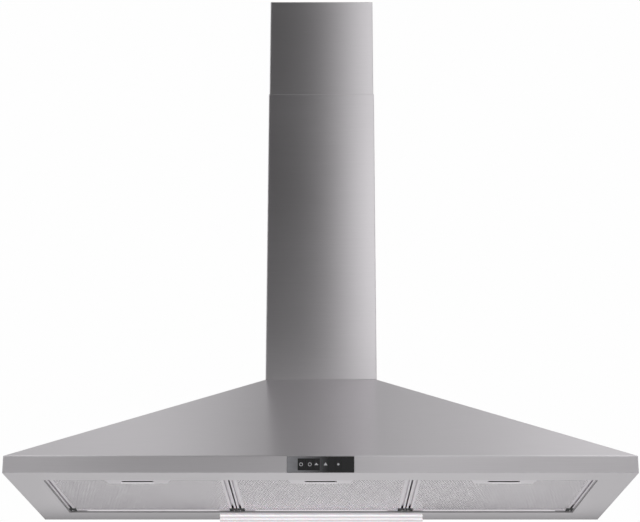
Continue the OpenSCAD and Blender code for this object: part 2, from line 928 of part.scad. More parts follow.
module electronics_lid() {
    a = electronics[0];
    b = electronics[1];
    out = electronics_wall + seat_gap;
    in = out + lid_rim_t;
    y0 = -back_t - electronics_d;
    color(grey) union() {
        block([a[0], y0 - lid_t, a[1]], [b[0], y0, b[1]]);
        difference() {
            block([a[0] + out, y0 - touch, a[1] + out], [b[0] - out, y0 + lid_rim, b[1] - out]);
            block([a[0] + in, y0, a[1] + in], [b[0] - in, y0 + lid_rim + over, b[1] - in]);
        }
    }
}

// Chimney section: an upright U of sheet with returns along the wall
module chimney_section(x, front, rear, z0, z1) {
    translate([0, 0, z0]) linear_extrude(z1 - z0) difference() {
        translate([-x, front]) square([2 * x, rear - front]);
        translate([-x + chimney_t, front + chimney_t])
            square([2 * (x - chimney_t), rear - front - 2 * chimney_t]);
        translate([-x + return_w, rear - chimney_t - over])
            square([2 * (x - return_w), chimney_t + 2 * over]);
    }
}

module chimney_lower() {
    color(steel)
        chimney_section(chimney_w / 2, -chimney_d, 0, chimney_z, chimney_z + chimney_lower_h);
}

module chimney_upper() {
    y0 = -chimney_d / 2 - air_slot_l / 2;
    color(steel) difference() {
        chimney_section(inner_x, inner_front, inner_rear, chimney_top - chimney_upper_h,
                        chimney_top);
        for (i = [0 : slot_count - 1])
            translate([0, 0, chimney_top - air_slot_drop - i * air_slot_pitch])
                block([-far, y0, 0], [far, y0 + air_slot_l, air_slot_h]);
    }
}

module ceiling_bracket() {
    x = inner_x - chimney_t;
    rear = inner_rear - chimney_t;
    z0 = chimney_top - bracket_h - bracket_drop;
    z1 = chimney_top - bracket_drop;
    color(zinc) difference() {
        union() {
            block([-x, rear - bracket_t, z0], [x, rear, z1]);
            for (s = [-1, 1])
                block([s > 0 ? x - bracket_t : -x, inner_front + bracket_set_back, z0],
                      [s > 0 ? x : -x + bracket_t, rear, z1]);
        }
        for (s = [-1, 1]) translate([s * bracket_slot_dx / 2, 0, (z0 + z1) / 2]) {
            for (e = [-1, 1]) bar_y(wall_hole_r, 4 * bracket_t, e * slot_end, rear - 3 * bracket_t);
            block([-slot_end, rear - 3 * bracket_t, -wall_hole_r],
                  [slot_end, rear + bracket_t, wall_hole_r]);
        }
    }
}

module chimney_screws() {
    z = chimney_top - bracket_h / 2 - bracket_drop;
    arm_front = inner_front + bracket_set_back;
    color(zinc) for (s = [-1, 1], y = [inner_rear - screw_back, arm_front + screw_front])
        translate([s * inner_x, y, z]) rotate([0, s * 90, 0]) pan_head(flange_screw_r);
}

// Space at a rear corner of a filter, on the side s, open up to z = top
module corner_space(x, s, gap, top) {
    middle = x + s * (filter_w / 2 - corner_w / 2);
    block([middle - corner_w / 2 - gap, filter_rear_y - corner_l - gap, filter_z - over],
          [middle + corner_w / 2 + gap, filter_rear_y + over, top]);
}

// Space for the panel's ear and the hinge pin at a rear corner
module lug_space(x, s) {
    middle = x + s * (filter_w / 2 - (corner_w - lug_w) / 2);
    half = (corner_w - lug_w) / 2;
    block([middle - half - (s < 0 ? touch : 0), filter_rear_y - lug_cut, filter_z - over],
          [middle + half + (s > 0 ? touch : 0), filter_rear_y + over, filter_z + filter_t + over]);
}

// Folded aluminium frame of a filter, grooved for the mesh pad
module filter_frame(x) {
    w = filter_w / 2;
    z1 = filter_z + filter_t;
    f = filter_front_y;
    r = filter_rear_y;
    color(aluminium) difference() {
        block([x - w, f, filter_z], [x + w, r, z1]);
        block([x - w + rail_w, f + rail_w, filter_z - over],
              [x + w - rail_w, r - rail_w, z1 + over]);
        block([x - w + rail_w - groove, f + rail_w - groove, mesh_z],
              [x + w - rail_w + groove, r - rail_w + groove, mesh_z + mesh_t]);
        for (s = [-1, 1]) {
            corner_space(x, s, touch, z1 - fold_t);
            lug_space(x, s);
            translate([x + s * (w - bead_x - bead_w / 2), f + bead_x, filter_z - over])
                block([-bead_w / 2, 0, 0], [bead_w / 2, r - f - corner_l - bead_x, bead_d + over]);
        }
        block([x - tongue_w / 2 - tongue_gap, f - over, tongue_z - tongue_gap],
              [x + tongue_w / 2 + tongue_gap, f + rail_w + over,
               tongue_z + tongue_t + tongue_gap]);
    }
}

// Outline in the Y-Z plane of a sheet folded to and fro through the mesh pad
function folds(y0, y1, z0, z1, t) = let (
    count = 2 * round((y1 - y0) / fold_pitch),
    step = (y1 - y0) / count,
    line = [for (i = [0 : count]) [y0 + i * step, i % 2 == 0 ? z0 : z1]]
) concat(line, [for (i = [count : -1 : 0]) line[i] + [0, t]]);

// Mesh pad: two stiff outer layers over a folded core, notched round the
// handle's pocket and the corner blocks
module filter_mesh(x) {
    w = filter_w / 2 - rail_w + groove - mesh_gap;
    y0 = filter_front_y + rail_w - groove + mesh_gap;
    y1 = filter_rear_y - rail_w + groove - mesh_gap;
    z1 = mesh_z + mesh_t;
    color(aluminium) difference() {
        union() {
            block([x - w, y0, mesh_z], [x + w, y1, mesh_z + layer_t]);
            block([x - w, y0, z1 - layer_t], [x + w, y1, z1]);
            translate([x, 0, 0]) side_profile(
                folds(y0, y1, mesh_z + layer_t / 2, z1 - layer_t, layer_t / 2), 2 * w);
        }
        block([x - pocket_w / 2 - mesh_gap, y0 - over, mesh_z - over],
              [x + pocket_w / 2 + mesh_gap, handle_y + handle_d + mesh_gap, z1 + over]);
        for (s = [-1, 1]) corner_space(x, s, mesh_gap, z1 + over);
    }
}

// Black corner blocks with the hinge pins that turn in the panel's ears
module filter_corners(x) {
    pin_l = corner_w - lug_w - pin_set_in;
    color(black) for (s = [-1, 1]) {
        middle = x + s * (filter_w / 2 - corner_w / 2);
        difference() {
            block([middle - corner_w / 2, filter_rear_y - corner_l, filter_z],
                  [middle + corner_w / 2, filter_rear_y, filter_z + filter_t - fold_t]);
            lug_space(x, s);
        }
        bar_x(hinge_pin_r, pin_l + touch, x + s * (filter_w / 2 - pin_set_in - pin_l / 2),
              pivot_y, pivot_z);
    }
}

// Handle: a tapered plate with the finger slot and the latch's pocket above it
module filter_handle(x) {
    y0 = handle_y;
    y1 = handle_y + handle_d;
    a = handle_w / 2;
    b = (handle_w - handle_taper) / 2;
    z0 = filter_z;
    z1 = filter_z + filter_t - pocket_low;
    p = pocket_w / 2;
    color(aluminium) difference() {
        union() {
            translate([x, 0, z0]) linear_extrude(mesh_z - z0 - mesh_gap)
                polygon([[-a, y0], [a, y0], [b, y1], [-b, y1]]);
            block([x - p, y0, z0], [x + p, y1, z1]);
        }
        block([x - p + pocket_wall, y0 + pocket_wall, z0 + fold_t],
              [x + p - pocket_wall, y1 - pocket_wall, z1 - pocket_wall]);
        block([x - finger_w / 2, slot_y, z0 - over],
              [x + finger_w / 2, slot_y + finger_d, z0 + fold_t + over]);
        block([x - tongue_w / 2 - tongue_gap, y0 - over, tongue_z - tongue_gap],
              [x + tongue_w / 2 + tongue_gap, y0 + pocket_wall + over,
               tongue_z + tongue_t + tongue_gap]);
    }
}

// Latch: a tongue through the front rail, a plate over the finger slot and a
// lip behind the slot that the finger pushes back
module filter_latch(x) {
    w = latch_w / 2;
    z0 = filter_z + fold_t + latch_gap;
    z1 = filter_z + filter_t - pocket_low - pocket_wall - latch_gap;
    lip_y = slot_y + finger_d + tongue_gap;
    color(black) union() {
        block([x - tongue_w / 2, filter_front_y - tongue_out, tongue_z],
              [x + tongue_w / 2, latch_y + touch, tongue_z + tongue_t]);
        block([x - w, latch_y, tongue_z], [x + w, latch_y + lip_t, z1]);
        block([x - w, latch_y, z1 - lip_t], [x + w, lip_y + lip_t, z1]);
        block([x - w, lip_y, z0], [x + w, lip_y + lip_t, z1]);
        block([x - arm_w / 2, lip_y, tongue_z], [x + arm_w / 2, lip_y + lip_t, tongue_z + tongue_t]);
    }
}

module filter_frame_left() { filter_frame(-filter_pitch); }
module filter_mesh_left() { filter_mesh(-filter_pitch); }
module filter_corners_left() { filter_corners(-filter_pitch); }
module filter_handle_left() { filter_handle(-filter_pitch); }
module filter_latch_left() { filter_latch(-filter_pitch); }
module filter_frame_centre() { filter_frame(0); }
module filter_mesh_centre() { filter_mesh(0); }
module filter_corners_centre() { filter_corners(0); }
module filter_handle_centre() { filter_handle(0); }
module filter_latch_centre() { filter_latch(0); }
module filter_frame_right() { filter_frame(filter_pitch); }
module filter_mesh_right() { filter_mesh(filter_pitch); }
module filter_corners_right() { filter_corners(filter_pitch); }
module filter_handle_right() { filter_handle(filter_pitch); }
module filter_latch_right() { filter_latch(filter_pitch); }

canopy_shell();
back_panel();
underside_panel();
divider_bars();
rear_strip();
chimney_collar();
hanging_bracket_left();
hanging_bracket_right();
canopy_screws();
control_box();
control_fascia();
control_board();
key_power();
key_speed();
key_down();
key_up();
key_light();
lamp_tray();
lamp_board();
lamp_cover();
volute_housing();
volute_side_left();
volute_side_right();
motor_mount();
motor();
motor_shaft();
wheel_disc();
wheel_blades();
wheel_rings();
blower_screws();
duct_spigot();
flap_front();
flap_rear();
capacitor();
electronics_box();
electronics_lid();
chimney_lower();
chimney_upper();
ceiling_bracket();
chimney_screws();
filter_frame_left();
filter_mesh_left();
filter_corners_left();
filter_handle_left();
filter_latch_left();
filter_frame_centre();
filter_mesh_centre();
filter_corners_centre();
filter_handle_centre();
filter_latch_centre();
filter_frame_right();
filter_mesh_right();
filter_corners_right();
filter_handle_right();
filter_latch_right();
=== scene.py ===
"""Finishes and small trim for a wall mount range hood, with its studio and camera.

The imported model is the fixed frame. Each operator dresses one piece or one group of
like pieces. They add the nets over the filters, the rolled edges at the finger slots
and under the rear rails, the seals of the filter opening and the printed marks.
"""

import json
import math

import bmesh
import bpy
from mathutils import Matrix, Vector


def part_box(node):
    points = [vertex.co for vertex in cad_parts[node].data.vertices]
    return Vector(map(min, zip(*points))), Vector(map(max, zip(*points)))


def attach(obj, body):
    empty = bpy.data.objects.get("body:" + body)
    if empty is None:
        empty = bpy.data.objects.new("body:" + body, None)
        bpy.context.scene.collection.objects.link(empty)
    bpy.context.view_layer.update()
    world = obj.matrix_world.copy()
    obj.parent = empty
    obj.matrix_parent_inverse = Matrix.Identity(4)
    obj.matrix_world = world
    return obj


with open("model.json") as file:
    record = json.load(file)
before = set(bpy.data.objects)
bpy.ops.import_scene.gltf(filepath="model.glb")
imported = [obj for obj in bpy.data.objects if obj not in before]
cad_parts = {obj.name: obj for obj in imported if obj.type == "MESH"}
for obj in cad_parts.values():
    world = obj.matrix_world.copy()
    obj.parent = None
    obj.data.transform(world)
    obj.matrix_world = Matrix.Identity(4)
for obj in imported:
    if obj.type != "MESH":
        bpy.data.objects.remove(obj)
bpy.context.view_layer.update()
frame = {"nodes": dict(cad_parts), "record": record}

bl_info = {
    "name": "Wall mount range hood",
    "version": (1, 0, 0),
    "blender": (4, 5, 0),
    "location": "View3D > Sidebar > Range hood",
    "description": "Dresses the range hood with its finishes, nets and marks, and lights it",
    "category": "Object",
}

MM = 0.001
SIDES = ("left", "centre", "right")
KEYS = ("power", "speed", "down", "up", "light")
# Most values of a noise texture lie in this range.
NOISE_RANGE = {"From Min": 0.3, "From Max": 0.7}
# A corner as near to a cut as this counts as lying on it.
ON_CUT = 0.0001 * MM


def linear(hex_colour):
    """Linear colour with alpha from an sRGB hex value such as #B9BABC."""
    channels = [int(hex_colour[i:i + 2], 16) / 255 for i in (1, 3, 5)]
    light = [c / 12.92 if c <= 0.04045 else ((c + 0.055) / 1.055) ** 2.4 for c in channels]
    return (*light, 1.0)


def shaded(colour, share):
    """The same colour with its light scaled by a share."""
    return (*[min(1.0, channel * share) for channel in colour[:3]], 1.0)


def set_inputs(tree, node, inputs):
    """Sets or links a node's inputs by name or number. A node that is given for an input
    is linked by its first output in use."""
    for name, value in inputs.items():
        if isinstance(value, bpy.types.Node):
            value = next(output for output in value.outputs if output.enabled)
        if isinstance(value, bpy.types.NodeSocket):
            tree.links.new(value, node.inputs[name])
        else:
            node.inputs[name].default_value = value


def add_node(tree, kind, inputs=None, **settings):
    """Adds a node with its settings, and sets or links its inputs."""
    node = tree.nodes.new(kind)
    for name, value in settings.items():
        setattr(node, name, value)
    set_inputs(tree, node, inputs or {})
    return node


def blank_material(name):
    """A material with an empty node tree, and that tree."""
    material = bpy.data.materials.new(name)
    material.use_nodes = True
    tree = material.node_tree
    tree.nodes.clear()
    return material, tree


def new_finish(name, **shader_inputs):
    """A material with a Principled shader, its node tree and that shader."""
    material, tree = blank_material(name)
    inputs = {socket.replace("_", " "): value for socket, value in shader_inputs.items()}
    shader = add_node(tree, "ShaderNodeBsdfPrincipled", inputs)
    add_node(tree, "ShaderNodeOutputMaterial", {"Surface": shader})
    return material, tree, shader


def unevenness(tree, place, lengths, detail=2.0):
    """Soft unevenness with one feature per length, in metres along X, Y and Z."""
    scaled = add_node(tree, "ShaderNodeMapping",
                      {"Vector": place, "Scale": [1 / length for length in lengths]})
    return add_node(tree, "ShaderNodeTexNoise",
                    {"Vector": scaled, "Scale": 1.0, "Detail": detail})


def graded(tree, value, stops):
    """Level that follows a value through stops, pairs of a value and its level."""
    first, last = stops[0][0], stops[-1][0]
    along = add_node(tree, "ShaderNodeMapRange",
                     {"Value": value, "From Min": first, "From Max": last})
    ramp = add_node(tree, "ShaderNodeValToRGB", {"Fac": along})
    elements = ramp.color_ramp.elements
    while len(elements) < len(stops):
        elements.new(1.0)
    for element, (place, level) in zip(elements, stops):
        element.position = (place - first) / (last - first)
        element.color = (level, level, level, 1.0)
    return ramp


def brushed_stainless(name, colour, roughness, grain, bend):
    """Cold-rolled stainless sheet brushed along its width.

    The level scratches keep reflections crisp sideways and blur them up and down, so
    light slides over the sheet in upright bands.
    """
    material, tree, shader = new_finish(
        name, Metallic=1.0, Anisotropic=0.8, Anisotropic_Rotation=0.25)
    place = add_node(tree, "ShaderNodeTexCoord").outputs["Object"]
    normal = add_node(tree, "ShaderNodeNewGeometry").outputs["Normal"]
    # a face looks sideways where more than this share of its normal lies along X
    sideways_share = 0.35
    turned = add_node(tree, "ShaderNodeSeparateXYZ", {"Vector": normal})
    size = add_node(tree, "ShaderNodeMath", {0: turned.outputs["X"]}, operation="ABSOLUTE")
    sideways = add_node(tree, "ShaderNodeMath", {0: size, 1: sideways_share},
                        operation="GREATER_THAN")
    # a scratch is finer than a pixel, so the grain is drawn about a millimetre wide
    scratch_length = grain * 70
    on_front = unevenness(tree, place, (scratch_length, grain, grain), 3.0)
    on_side = unevenness(tree, place, (grain, scratch_length, grain), 3.0)
    scratch = add_node(tree, "ShaderNodeMix",
                       {"Factor": sideways, "A": on_front, "B": on_side})
    light = add_node(tree, "ShaderNodeMapRange", {"Value": scratch, **NOISE_RANGE})
    toned = add_node(tree, "ShaderNodeMix",
                     {"Factor": light, "A": shaded(colour, 0.98), "B": shaded(colour, 1.02)},
                     data_type="RGBA")
    brushing = add_node(tree, "ShaderNodeMapRange",
                        {"Value": scratch, **NOISE_RANGE, "To Min": roughness - 0.01,
                         "To Max": roughness + 0.02})
    handling = unevenness(tree, place, (350 * MM, 350 * MM, 250 * MM), 1.0)
    wiping = add_node(tree, "ShaderNodeMapRange",
                      {"Value": handling, **NOISE_RANGE, "To Min": -0.01, "To Max": 0.015})
    rough = add_node(tree, "ShaderNodeMath", {0: brushing, 1: wiping}, operation="ADD")
    # the scratches run level, and along X on level faces, where the product is zero
    across = add_node(tree, "ShaderNodeVectorMath", {0: normal, 1: (0, 0, 1)},
                      operation="CROSS_PRODUCT")
    along = add_node(tree, "ShaderNodeVectorMath", {0: across, 1: (0.001, 0, 0)},
                     operation="ADD")
    folded = add_node(tree, "ShaderNodeBevel", {"Radius": bend}, samples=4)
    bump = add_node(tree, "ShaderNodeBump",
                    {"Height": scratch, "Strength": 0.03, "Distance": 0.02 * MM,
                     "Normal": folded})
    set_inputs(tree, shader, {"Base Color": toned, "Roughness": rough, "Tangent": along,
                              "Normal": bump})
    return material


def galvanised_sheet(name, colour):
    """Hot-dip galvanised steel sheet: zinc crystals of a centimetre, each a little lighter
    or darker and more or less dull than the next."""
    material, tree, shader = new_finish(name, Metallic=1.0)
    place = add_node(tree, "ShaderNodeTexCoord").outputs["Object"]
    crystal_size, ragged_edge = 11 * MM, 6 * MM
    wander = unevenness(tree, place, (12 * MM, 12 * MM, 12 * MM), 1.0)
    shift = add_node(tree, "ShaderNodeMath", {0: wander, 1: ragged_edge},
                     operation="MULTIPLY")
    moved = add_node(tree, "ShaderNodeVectorMath", {0: place, 1: shift}, operation="ADD")
    crystals = add_node(tree, "ShaderNodeTexVoronoi",
                        {"Vector": moved, "Scale": 1 / crystal_size})
    tone = add_node(tree, "ShaderNodeSeparateColor", {"Color": crystals.outputs["Color"]})
    toned = add_node(tree, "ShaderNodeMix",
                     {"Factor": tone.outputs["Red"], "A": shaded(colour, 0.82),
                      "B": shaded(colour, 1.12)}, data_type="RGBA")
    dull = add_node(tree, "ShaderNodeMapRange",
                    {"Value": tone.outputs["Green"], **NOISE_RANGE, "To Min": 0.34,
                     "To Max": 0.48})
    set_inputs(tree, shader, {"Base Color": toned, "Roughness": dull})
    return material


def satin_aluminium(name, colour, roughness=0.34):
    """Mill-finish aluminium strip, rolled: soft sheen with faint lengthwise drawing lines."""
    material, tree, shader = new_finish(name, Metallic=1.0)
    place = add_node(tree, "ShaderNodeTexCoord").outputs["Object"]
    # a drawing line is about 0.1 mm wide, and is drawn wider so that it shows
    lines = unevenness(tree, place, (50 * MM, 1.2 * MM, 1.2 * MM))
    clouds = unevenness(tree, place, (30 * MM, 30 * MM, 30 * MM))
    light = add_node(tree, "ShaderNodeMapRange", {"Value": lines, **NOISE_RANGE})
    toned = add_node(tree, "ShaderNodeMix",
                     {"Factor": light, "A": shaded(colour, 0.94), "B": colour},
                     data_type="RGBA")
    rough = add_node(tree, "ShaderNodeMapRange",
                     {"Value": clouds, **NOISE_RANGE, "To Min": roughness - 0.04,
                      "To Max": roughness + 0.05})
    bump = add_node(tree, "ShaderNodeBump",
                    {"Height": lines, "Strength": 0.06, "Distance": 0.03 * MM})
    set_inputs(tree, shader, {"Base Color": toned, "Roughness": rough, "Normal": bump})
    return material


def layered_mesh(name, colour, cell_width, cell_length, gap_light):
    """Layers of expanded aluminium mesh: strands, gaps that keep a share of the light, and
    the shimmer of one layer lying across the next."""
    material, tree, shader = new_finish(name, Metallic=1.0, Roughness=0.25)
    place = add_node(tree, "ShaderNodeTexCoord").outputs["Object"]
    parts = add_node(tree, "ShaderNodeSeparateXYZ", {"Vector": place})
    # the strands are the lines on which either of two slanted waves is near zero
    waves = []
    for slant in (1.0, -1.0):
        across = add_node(tree, "ShaderNodeMath",
                          {0: parts.outputs["X"], 1: math.pi / cell_width},
                          operation="MULTIPLY")
        along = add_node(tree, "ShaderNodeMath",
                         {0: parts.outputs["Y"], 1: slant * math.pi / cell_length,
                          2: across}, operation="MULTIPLY_ADD")
        wave = add_node(tree, "ShaderNodeMath", {0: along}, operation="SINE")
        waves.append(add_node(tree, "ShaderNodeMath", {0: wave}, operation="ABSOLUTE"))
    strand = add_node(tree, "ShaderNodeMath", {0: waves[0], 1: waves[1]}, operation="MINIMUM")
    height = add_node(tree, "ShaderNodeMapRange",
                      {"Value": strand, "From Min": 0.15, "From Max": 0.5, "To Min": 1.0,
                       "To Max": 0.0}, interpolation_type="SMOOTHSTEP")
    # the layers shimmer as one lies across the next, drawn wide enough to show as dots
    swings = []
    for axis, pitch in (("X", 7 * MM), ("Y", 38 * MM)):
        turn = add_node(tree, "ShaderNodeMath",
                        {0: parts.outputs[axis], 1: 2 * math.pi / pitch},
                        operation="MULTIPLY")
        swings.append(add_node(tree, "ShaderNodeMath", {0: turn}, operation="SINE"))
    dots = add_node(tree, "ShaderNodeMath", {0: swings[0], 1: swings[1]},
                    operation="MULTIPLY")
    crumple = add_node(tree, "ShaderNodeMapRange",
                       {"Value": unevenness(tree, place, (12 * MM, 50 * MM, 20 * MM), 1.0),
                        **NOISE_RANGE, "To Min": 0.46, "To Max": 0.54})
    dot_share = 0.13
    shimmer = add_node(tree, "ShaderNodeMath", {0: dots, 1: dot_share, 2: crumple},
                       operation="MULTIPLY_ADD")
    light = add_node(tree, "ShaderNodeMapRange", {"Value": shimmer, **NOISE_RANGE})
    shade = add_node(tree, "ShaderNodeMix",
                     {"Factor": light, "A": linear("#E0E0E0"), "B": linear("#FFFFFF")},
                     data_type="RGBA")
    depth = add_node(tree, "ShaderNodeMix",
                     {"Factor": height, "A": shaded(colour, gap_light), "B": colour},
                     data_type="RGBA")
    toned = add_node(tree, "ShaderNodeMix", {"Factor": 1.0, "A": depth, "B": shade},
                     data_type="RGBA", blend_type="MULTIPLY")
    bump = add_node(tree, "ShaderNodeBump",
                    {"Height": height, "Strength": 0.25, "Distance": 0.3 * MM})
    set_inputs(tree, shader, {"Base Color": toned, "Normal": bump})
    return material


def moulded_plastic(name, colour, roughness=0.45):
    """ABS, rubber or silicone from a spark-eroded mould: a dull, finely pitted skin."""
    material, tree, shader = new_finish(name, IOR=1.53)
    place = add_node(tree, "ShaderNodeTexCoord").outputs["Object"]
    # a pit is about 0.05 mm wide, and is drawn wider so that it shows
    pits = unevenness(tree, place, (0.6 * MM, 0.6 * MM, 0.6 * MM))
    flow = unevenness(tree, place, (40 * MM, 40 * MM, 40 * MM))
    toned = add_node(tree, "ShaderNodeMix",
                     {"Factor": flow, "A": shaded(colour, 0.85), "B": shaded(colour, 1.15)},
                     data_type="RGBA")
    rough = add_node(tree, "ShaderNodeMapRange",
                     {"Value": pits, **NOISE_RANGE, "To Min": roughness - 0.05,
                      "To Max": roughness + 0.07})
    bump = add_node(tree, "ShaderNodeBump",
                    {"Height": pits, "Strength": 0.2, "Distance": 0.05 * MM})
    set_inputs(tree, shader, {"Base Color": toned, "Roughness": rough, "Normal": bump})
    return material


def gloss_acrylic(name, colour, low, high):
    """Black acrylic, cast and polished: a near-black body with a mirror-like skin, its gloss a
    little uneven from wiping. Its left half has a painted reflection, a patchy lighter grey,
    but for the display window between two corners."""
    material, tree, shader = new_finish(name, IOR=1.49)
    place = add_node(tree, "ShaderNodeTexCoord").outputs["Object"]
    parts = add_node(tree, "ShaderNodeSeparateXYZ", {"Vector": place})
    window = 1.0
    middle, half = (low + high) / 2, (high - low) / 2
    for axis, centre, reach in (("X", middle.x, half.x), ("Z", middle.z, half.z)):
        within = add_node(tree, "ShaderNodeMath",
                          {0: parts.outputs[axis], 1: centre, 2: reach}, operation="COMPARE")
        window = add_node(tree, "ShaderNodeMath", {0: within, 1: window},
                          operation="MULTIPLY")
    outside = add_node(tree, "ShaderNodeMath", {0: 1.0, 1: window}, operation="SUBTRACT")
    # painted reflection: a lighter grey mixed into the colour, fading in towards the left and
    # patchy
    reflection_start, reflection_full = 14 * MM, -62 * MM
    leftward = add_node(tree, "ShaderNodeMapRange",
                        {"Value": parts.outputs["X"], "From Min": reflection_start,
                         "From Max": reflection_full})
    wipes_and_reflection_patches = unevenness(tree, place, (30 * MM, 30 * MM, 12 * MM))
    reflection_patchiness = add_node(tree, "ShaderNodeMapRange",
                      {"Value": wipes_and_reflection_patches, **NOISE_RANGE, "To Min": 0.8, "To Max": 1.0})
    patchy_reflection = add_node(tree, "ShaderNodeMath", {0: leftward, 1: reflection_patchiness}, operation="MULTIPLY")
    painted_reflection = add_node(tree, "ShaderNodeMath", {0: patchy_reflection, 1: outside}, operation="MULTIPLY")
    toned = add_node(tree, "ShaderNodeMix",
                     {"Factor": painted_reflection, "A": colour, "B": linear("#88888C")},
                     data_type="RGBA")
    rough = add_node(tree, "ShaderNodeMapRange",
                     {"Value": wipes_and_reflection_patches, **NOISE_RANGE, "To Min": 0.07, "To Max": 0.14})
    set_inputs(tree, shader, {"Base Color": toned, "Roughness": rough})
    return material


def printed_ink(name, colour):
    """Screen-printed light grey ink: opaque, dull, a little uneven."""
    material, tree, shader = new_finish(name, Roughness=0.6)
    place = add_node(tree, "ShaderNodeTexCoord").outputs["Object"]
    # a speck is about 0.1 mm wide, and is drawn wider so that it shows
    speck = unevenness(tree, place, (0.4 * MM, 0.4 * MM, 0.4 * MM), 1.0)
    toned = add_node(tree, "ShaderNodeMix",
                     {"Factor": speck, "A": shaded(colour, 0.9), "B": colour},
                     data_type="RGBA")
    set_inputs(tree, shader, {"Base Color": toned})
    return material


def opal_polycarbonate(name, colour, glow, band, start):
    """Extruded opal polycarbonate: milky and satin, glowing from the lamps inside, with
    painted level bands of light and shade in its colour as well as its glow. The first band is
    brightest at start."""
    material, tree, shader = new_finish(
        name, IOR=1.58, Roughness=0.32, Subsurface_Weight=0.3, Subsurface_Scale=4 * MM,
        Emission_Strength=glow)
    place = add_node(tree, "ShaderNodeTexCoord").outputs["Object"]
    parts = add_node(tree, "ShaderNodeSeparateXYZ", {"Vector": place})
    turn = add_node(tree, "ShaderNodeMath",
                    {0: parts.outputs["Z"], 1: 2 * math.pi / band,
                     2: -2 * math.pi * start / band}, operation="MULTIPLY_ADD")
    wave = add_node(tree, "ShaderNodeMath", {0: turn}, operation="COSINE")
    painted_light_bands = add_node(tree, "ShaderNodeMapRange",
                     {"Value": wave, "From Min": -1.0, "From Max": 1.0})
    milk = unevenness(tree, place, (50 * MM, 10 * MM, 10 * MM))
    light = add_node(tree, "ShaderNodeMath", {0: milk, 1: 0.15, 2: painted_light_bands},
                     operation="MULTIPLY_ADD")
    # painted light and shade: the bands darken the base colour as well as the glow
    toned = add_node(tree, "ShaderNodeMix",
                     {"Factor": light, "A": shaded(colour, 0.6), "B": colour},
                     data_type="RGBA")
    set_inputs(tree, shader, {"Base Color": toned, "Emission Color": toned})
    return material


def soldered_board(name, colour):
    """Printed circuit board: green lacquer with a faint pattern of copper tracks."""
    material, tree, shader = new_finish(name, IOR=1.5, Roughness=0.35)
    place = add_node(tree, "ShaderNodeTexCoord").outputs["Object"]
    track_spacing = 10 * MM
    tracks = add_node(tree, "ShaderNodeTexBrick",
                      {"Vector": place, "Color1": colour, "Color2": shaded(colour, 1.3),
                       "Mortar": shaded(colour, 2.0), "Scale": 1 / track_spacing,
                       "Mortar Size": 0.06})
    set_inputs(tree, shader, {"Base Color": tracks})
    return material


def dress(node, material, fold=0.0):
    """Gives a CAD node its material, and softens its edges by a fold radius in metres."""
    piece = frame["nodes"][node]
    piece.data.materials.clear()
    piece.data.materials.append(material)
    if fold:
        weld = piece.modifiers.new("weld", "WELD")
        weld.merge_threshold = 0.005 * MM
        soft = piece.modifiers.new("fold", "BEVEL")
        soft.width = fold
        soft.segments = 2
        soft.limit_method = "ANGLE"
        soft.angle_limit = math.radians(30)


def new_object(name, shape, material):
    """Object in the scene from a bmesh, which is freed."""
    mesh = bpy.data.meshes.new(name)
    shape.to_mesh(mesh)
    shape.free()
    mesh.materials.append(material)
    made = bpy.data.objects.new(name, mesh)
    bpy.context.scene.collection.objects.link(made)
    return made


def make_piece(name, shape, material, body):
    """Turns a bmesh into a piece that rides on a body."""
    piece = new_object(name, shape, material)
    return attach(piece, body)


def slot_space(side):
    """Lowest and highest corner of a filter's finger slot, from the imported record."""
    for opening in frame["record"]["physics"]["openings"]:
        if opening["name"] == "finger_slot_" + side:
            return [Vector(corner) for corner in opening["box_m"]]
    raise KeyError("finger_slot_" + side)


def cut_across(shape, point, normal, clear_outer=False):
    """Cuts a shape along a plane, and may take off what its normal points to."""
    bmesh.ops.bisect_plane(
        shape, geom=[*shape.verts, *shape.edges, *shape.faces], plane_co=point,
        plane_no=normal, clear_outer=clear_outer, dist=ON_CUT)


def thicken(shape, depth):
    """Extrudes flat faces by depth along +Y into closed plates that face -Y."""
    made = bmesh.ops.extrude_face_region(shape, geom=shape.faces[:])
    moved = [item for item in made["geom"] if isinstance(item, bmesh.types.BMVert)]
    bmesh.ops.translate(shape, verts=moved, vec=(0, depth, 0))
    bmesh.ops.recalc_face_normals(shape, faces=shape.faces)
    # the extrusion makes its side faces in no fixed order, so they are put in one
    slant = Vector((1, 0.01, 0.1))
    shape.faces.sort(key=lambda face: face.calc_center_median().dot(slant))


class HoodSteel(bpy.types.PropertyGroup):
    """Stainless steel of the canopy, chimney and underside."""

    colour: bpy.props.FloatVectorProperty(
        name="Colour", description="Colour of the stainless steel", subtype="COLOR",
        size=4, min=0, max=1, default=linear("#D0CDD0"))
    roughness: bpy.props.FloatProperty(
        name="Roughness", description="Roughness of the brushed sheet", default=0.3,
        min=0.05, max=0.8, subtype="FACTOR")
    grain: bpy.props.FloatProperty(
        name="Grain", description="Width of a drawn scratch", default=0.9 * MM,
        min=0.2 * MM, max=5 * MM, subtype="DISTANCE", unit="LENGTH")
    bend: bpy.props.FloatProperty(
        name="Bend", description="Radius that the sheet is bent to", default=2.6 * MM,
        min=0.2 * MM, max=5 * MM, subtype="DISTANCE", unit="LENGTH")
    fold: bpy.props.FloatProperty(
        name="Fold", description="Radius of the softened sheet edges", default=0.35 * MM,
        min=0.0, max=1 * MM, subtype="DISTANCE", unit="LENGTH")


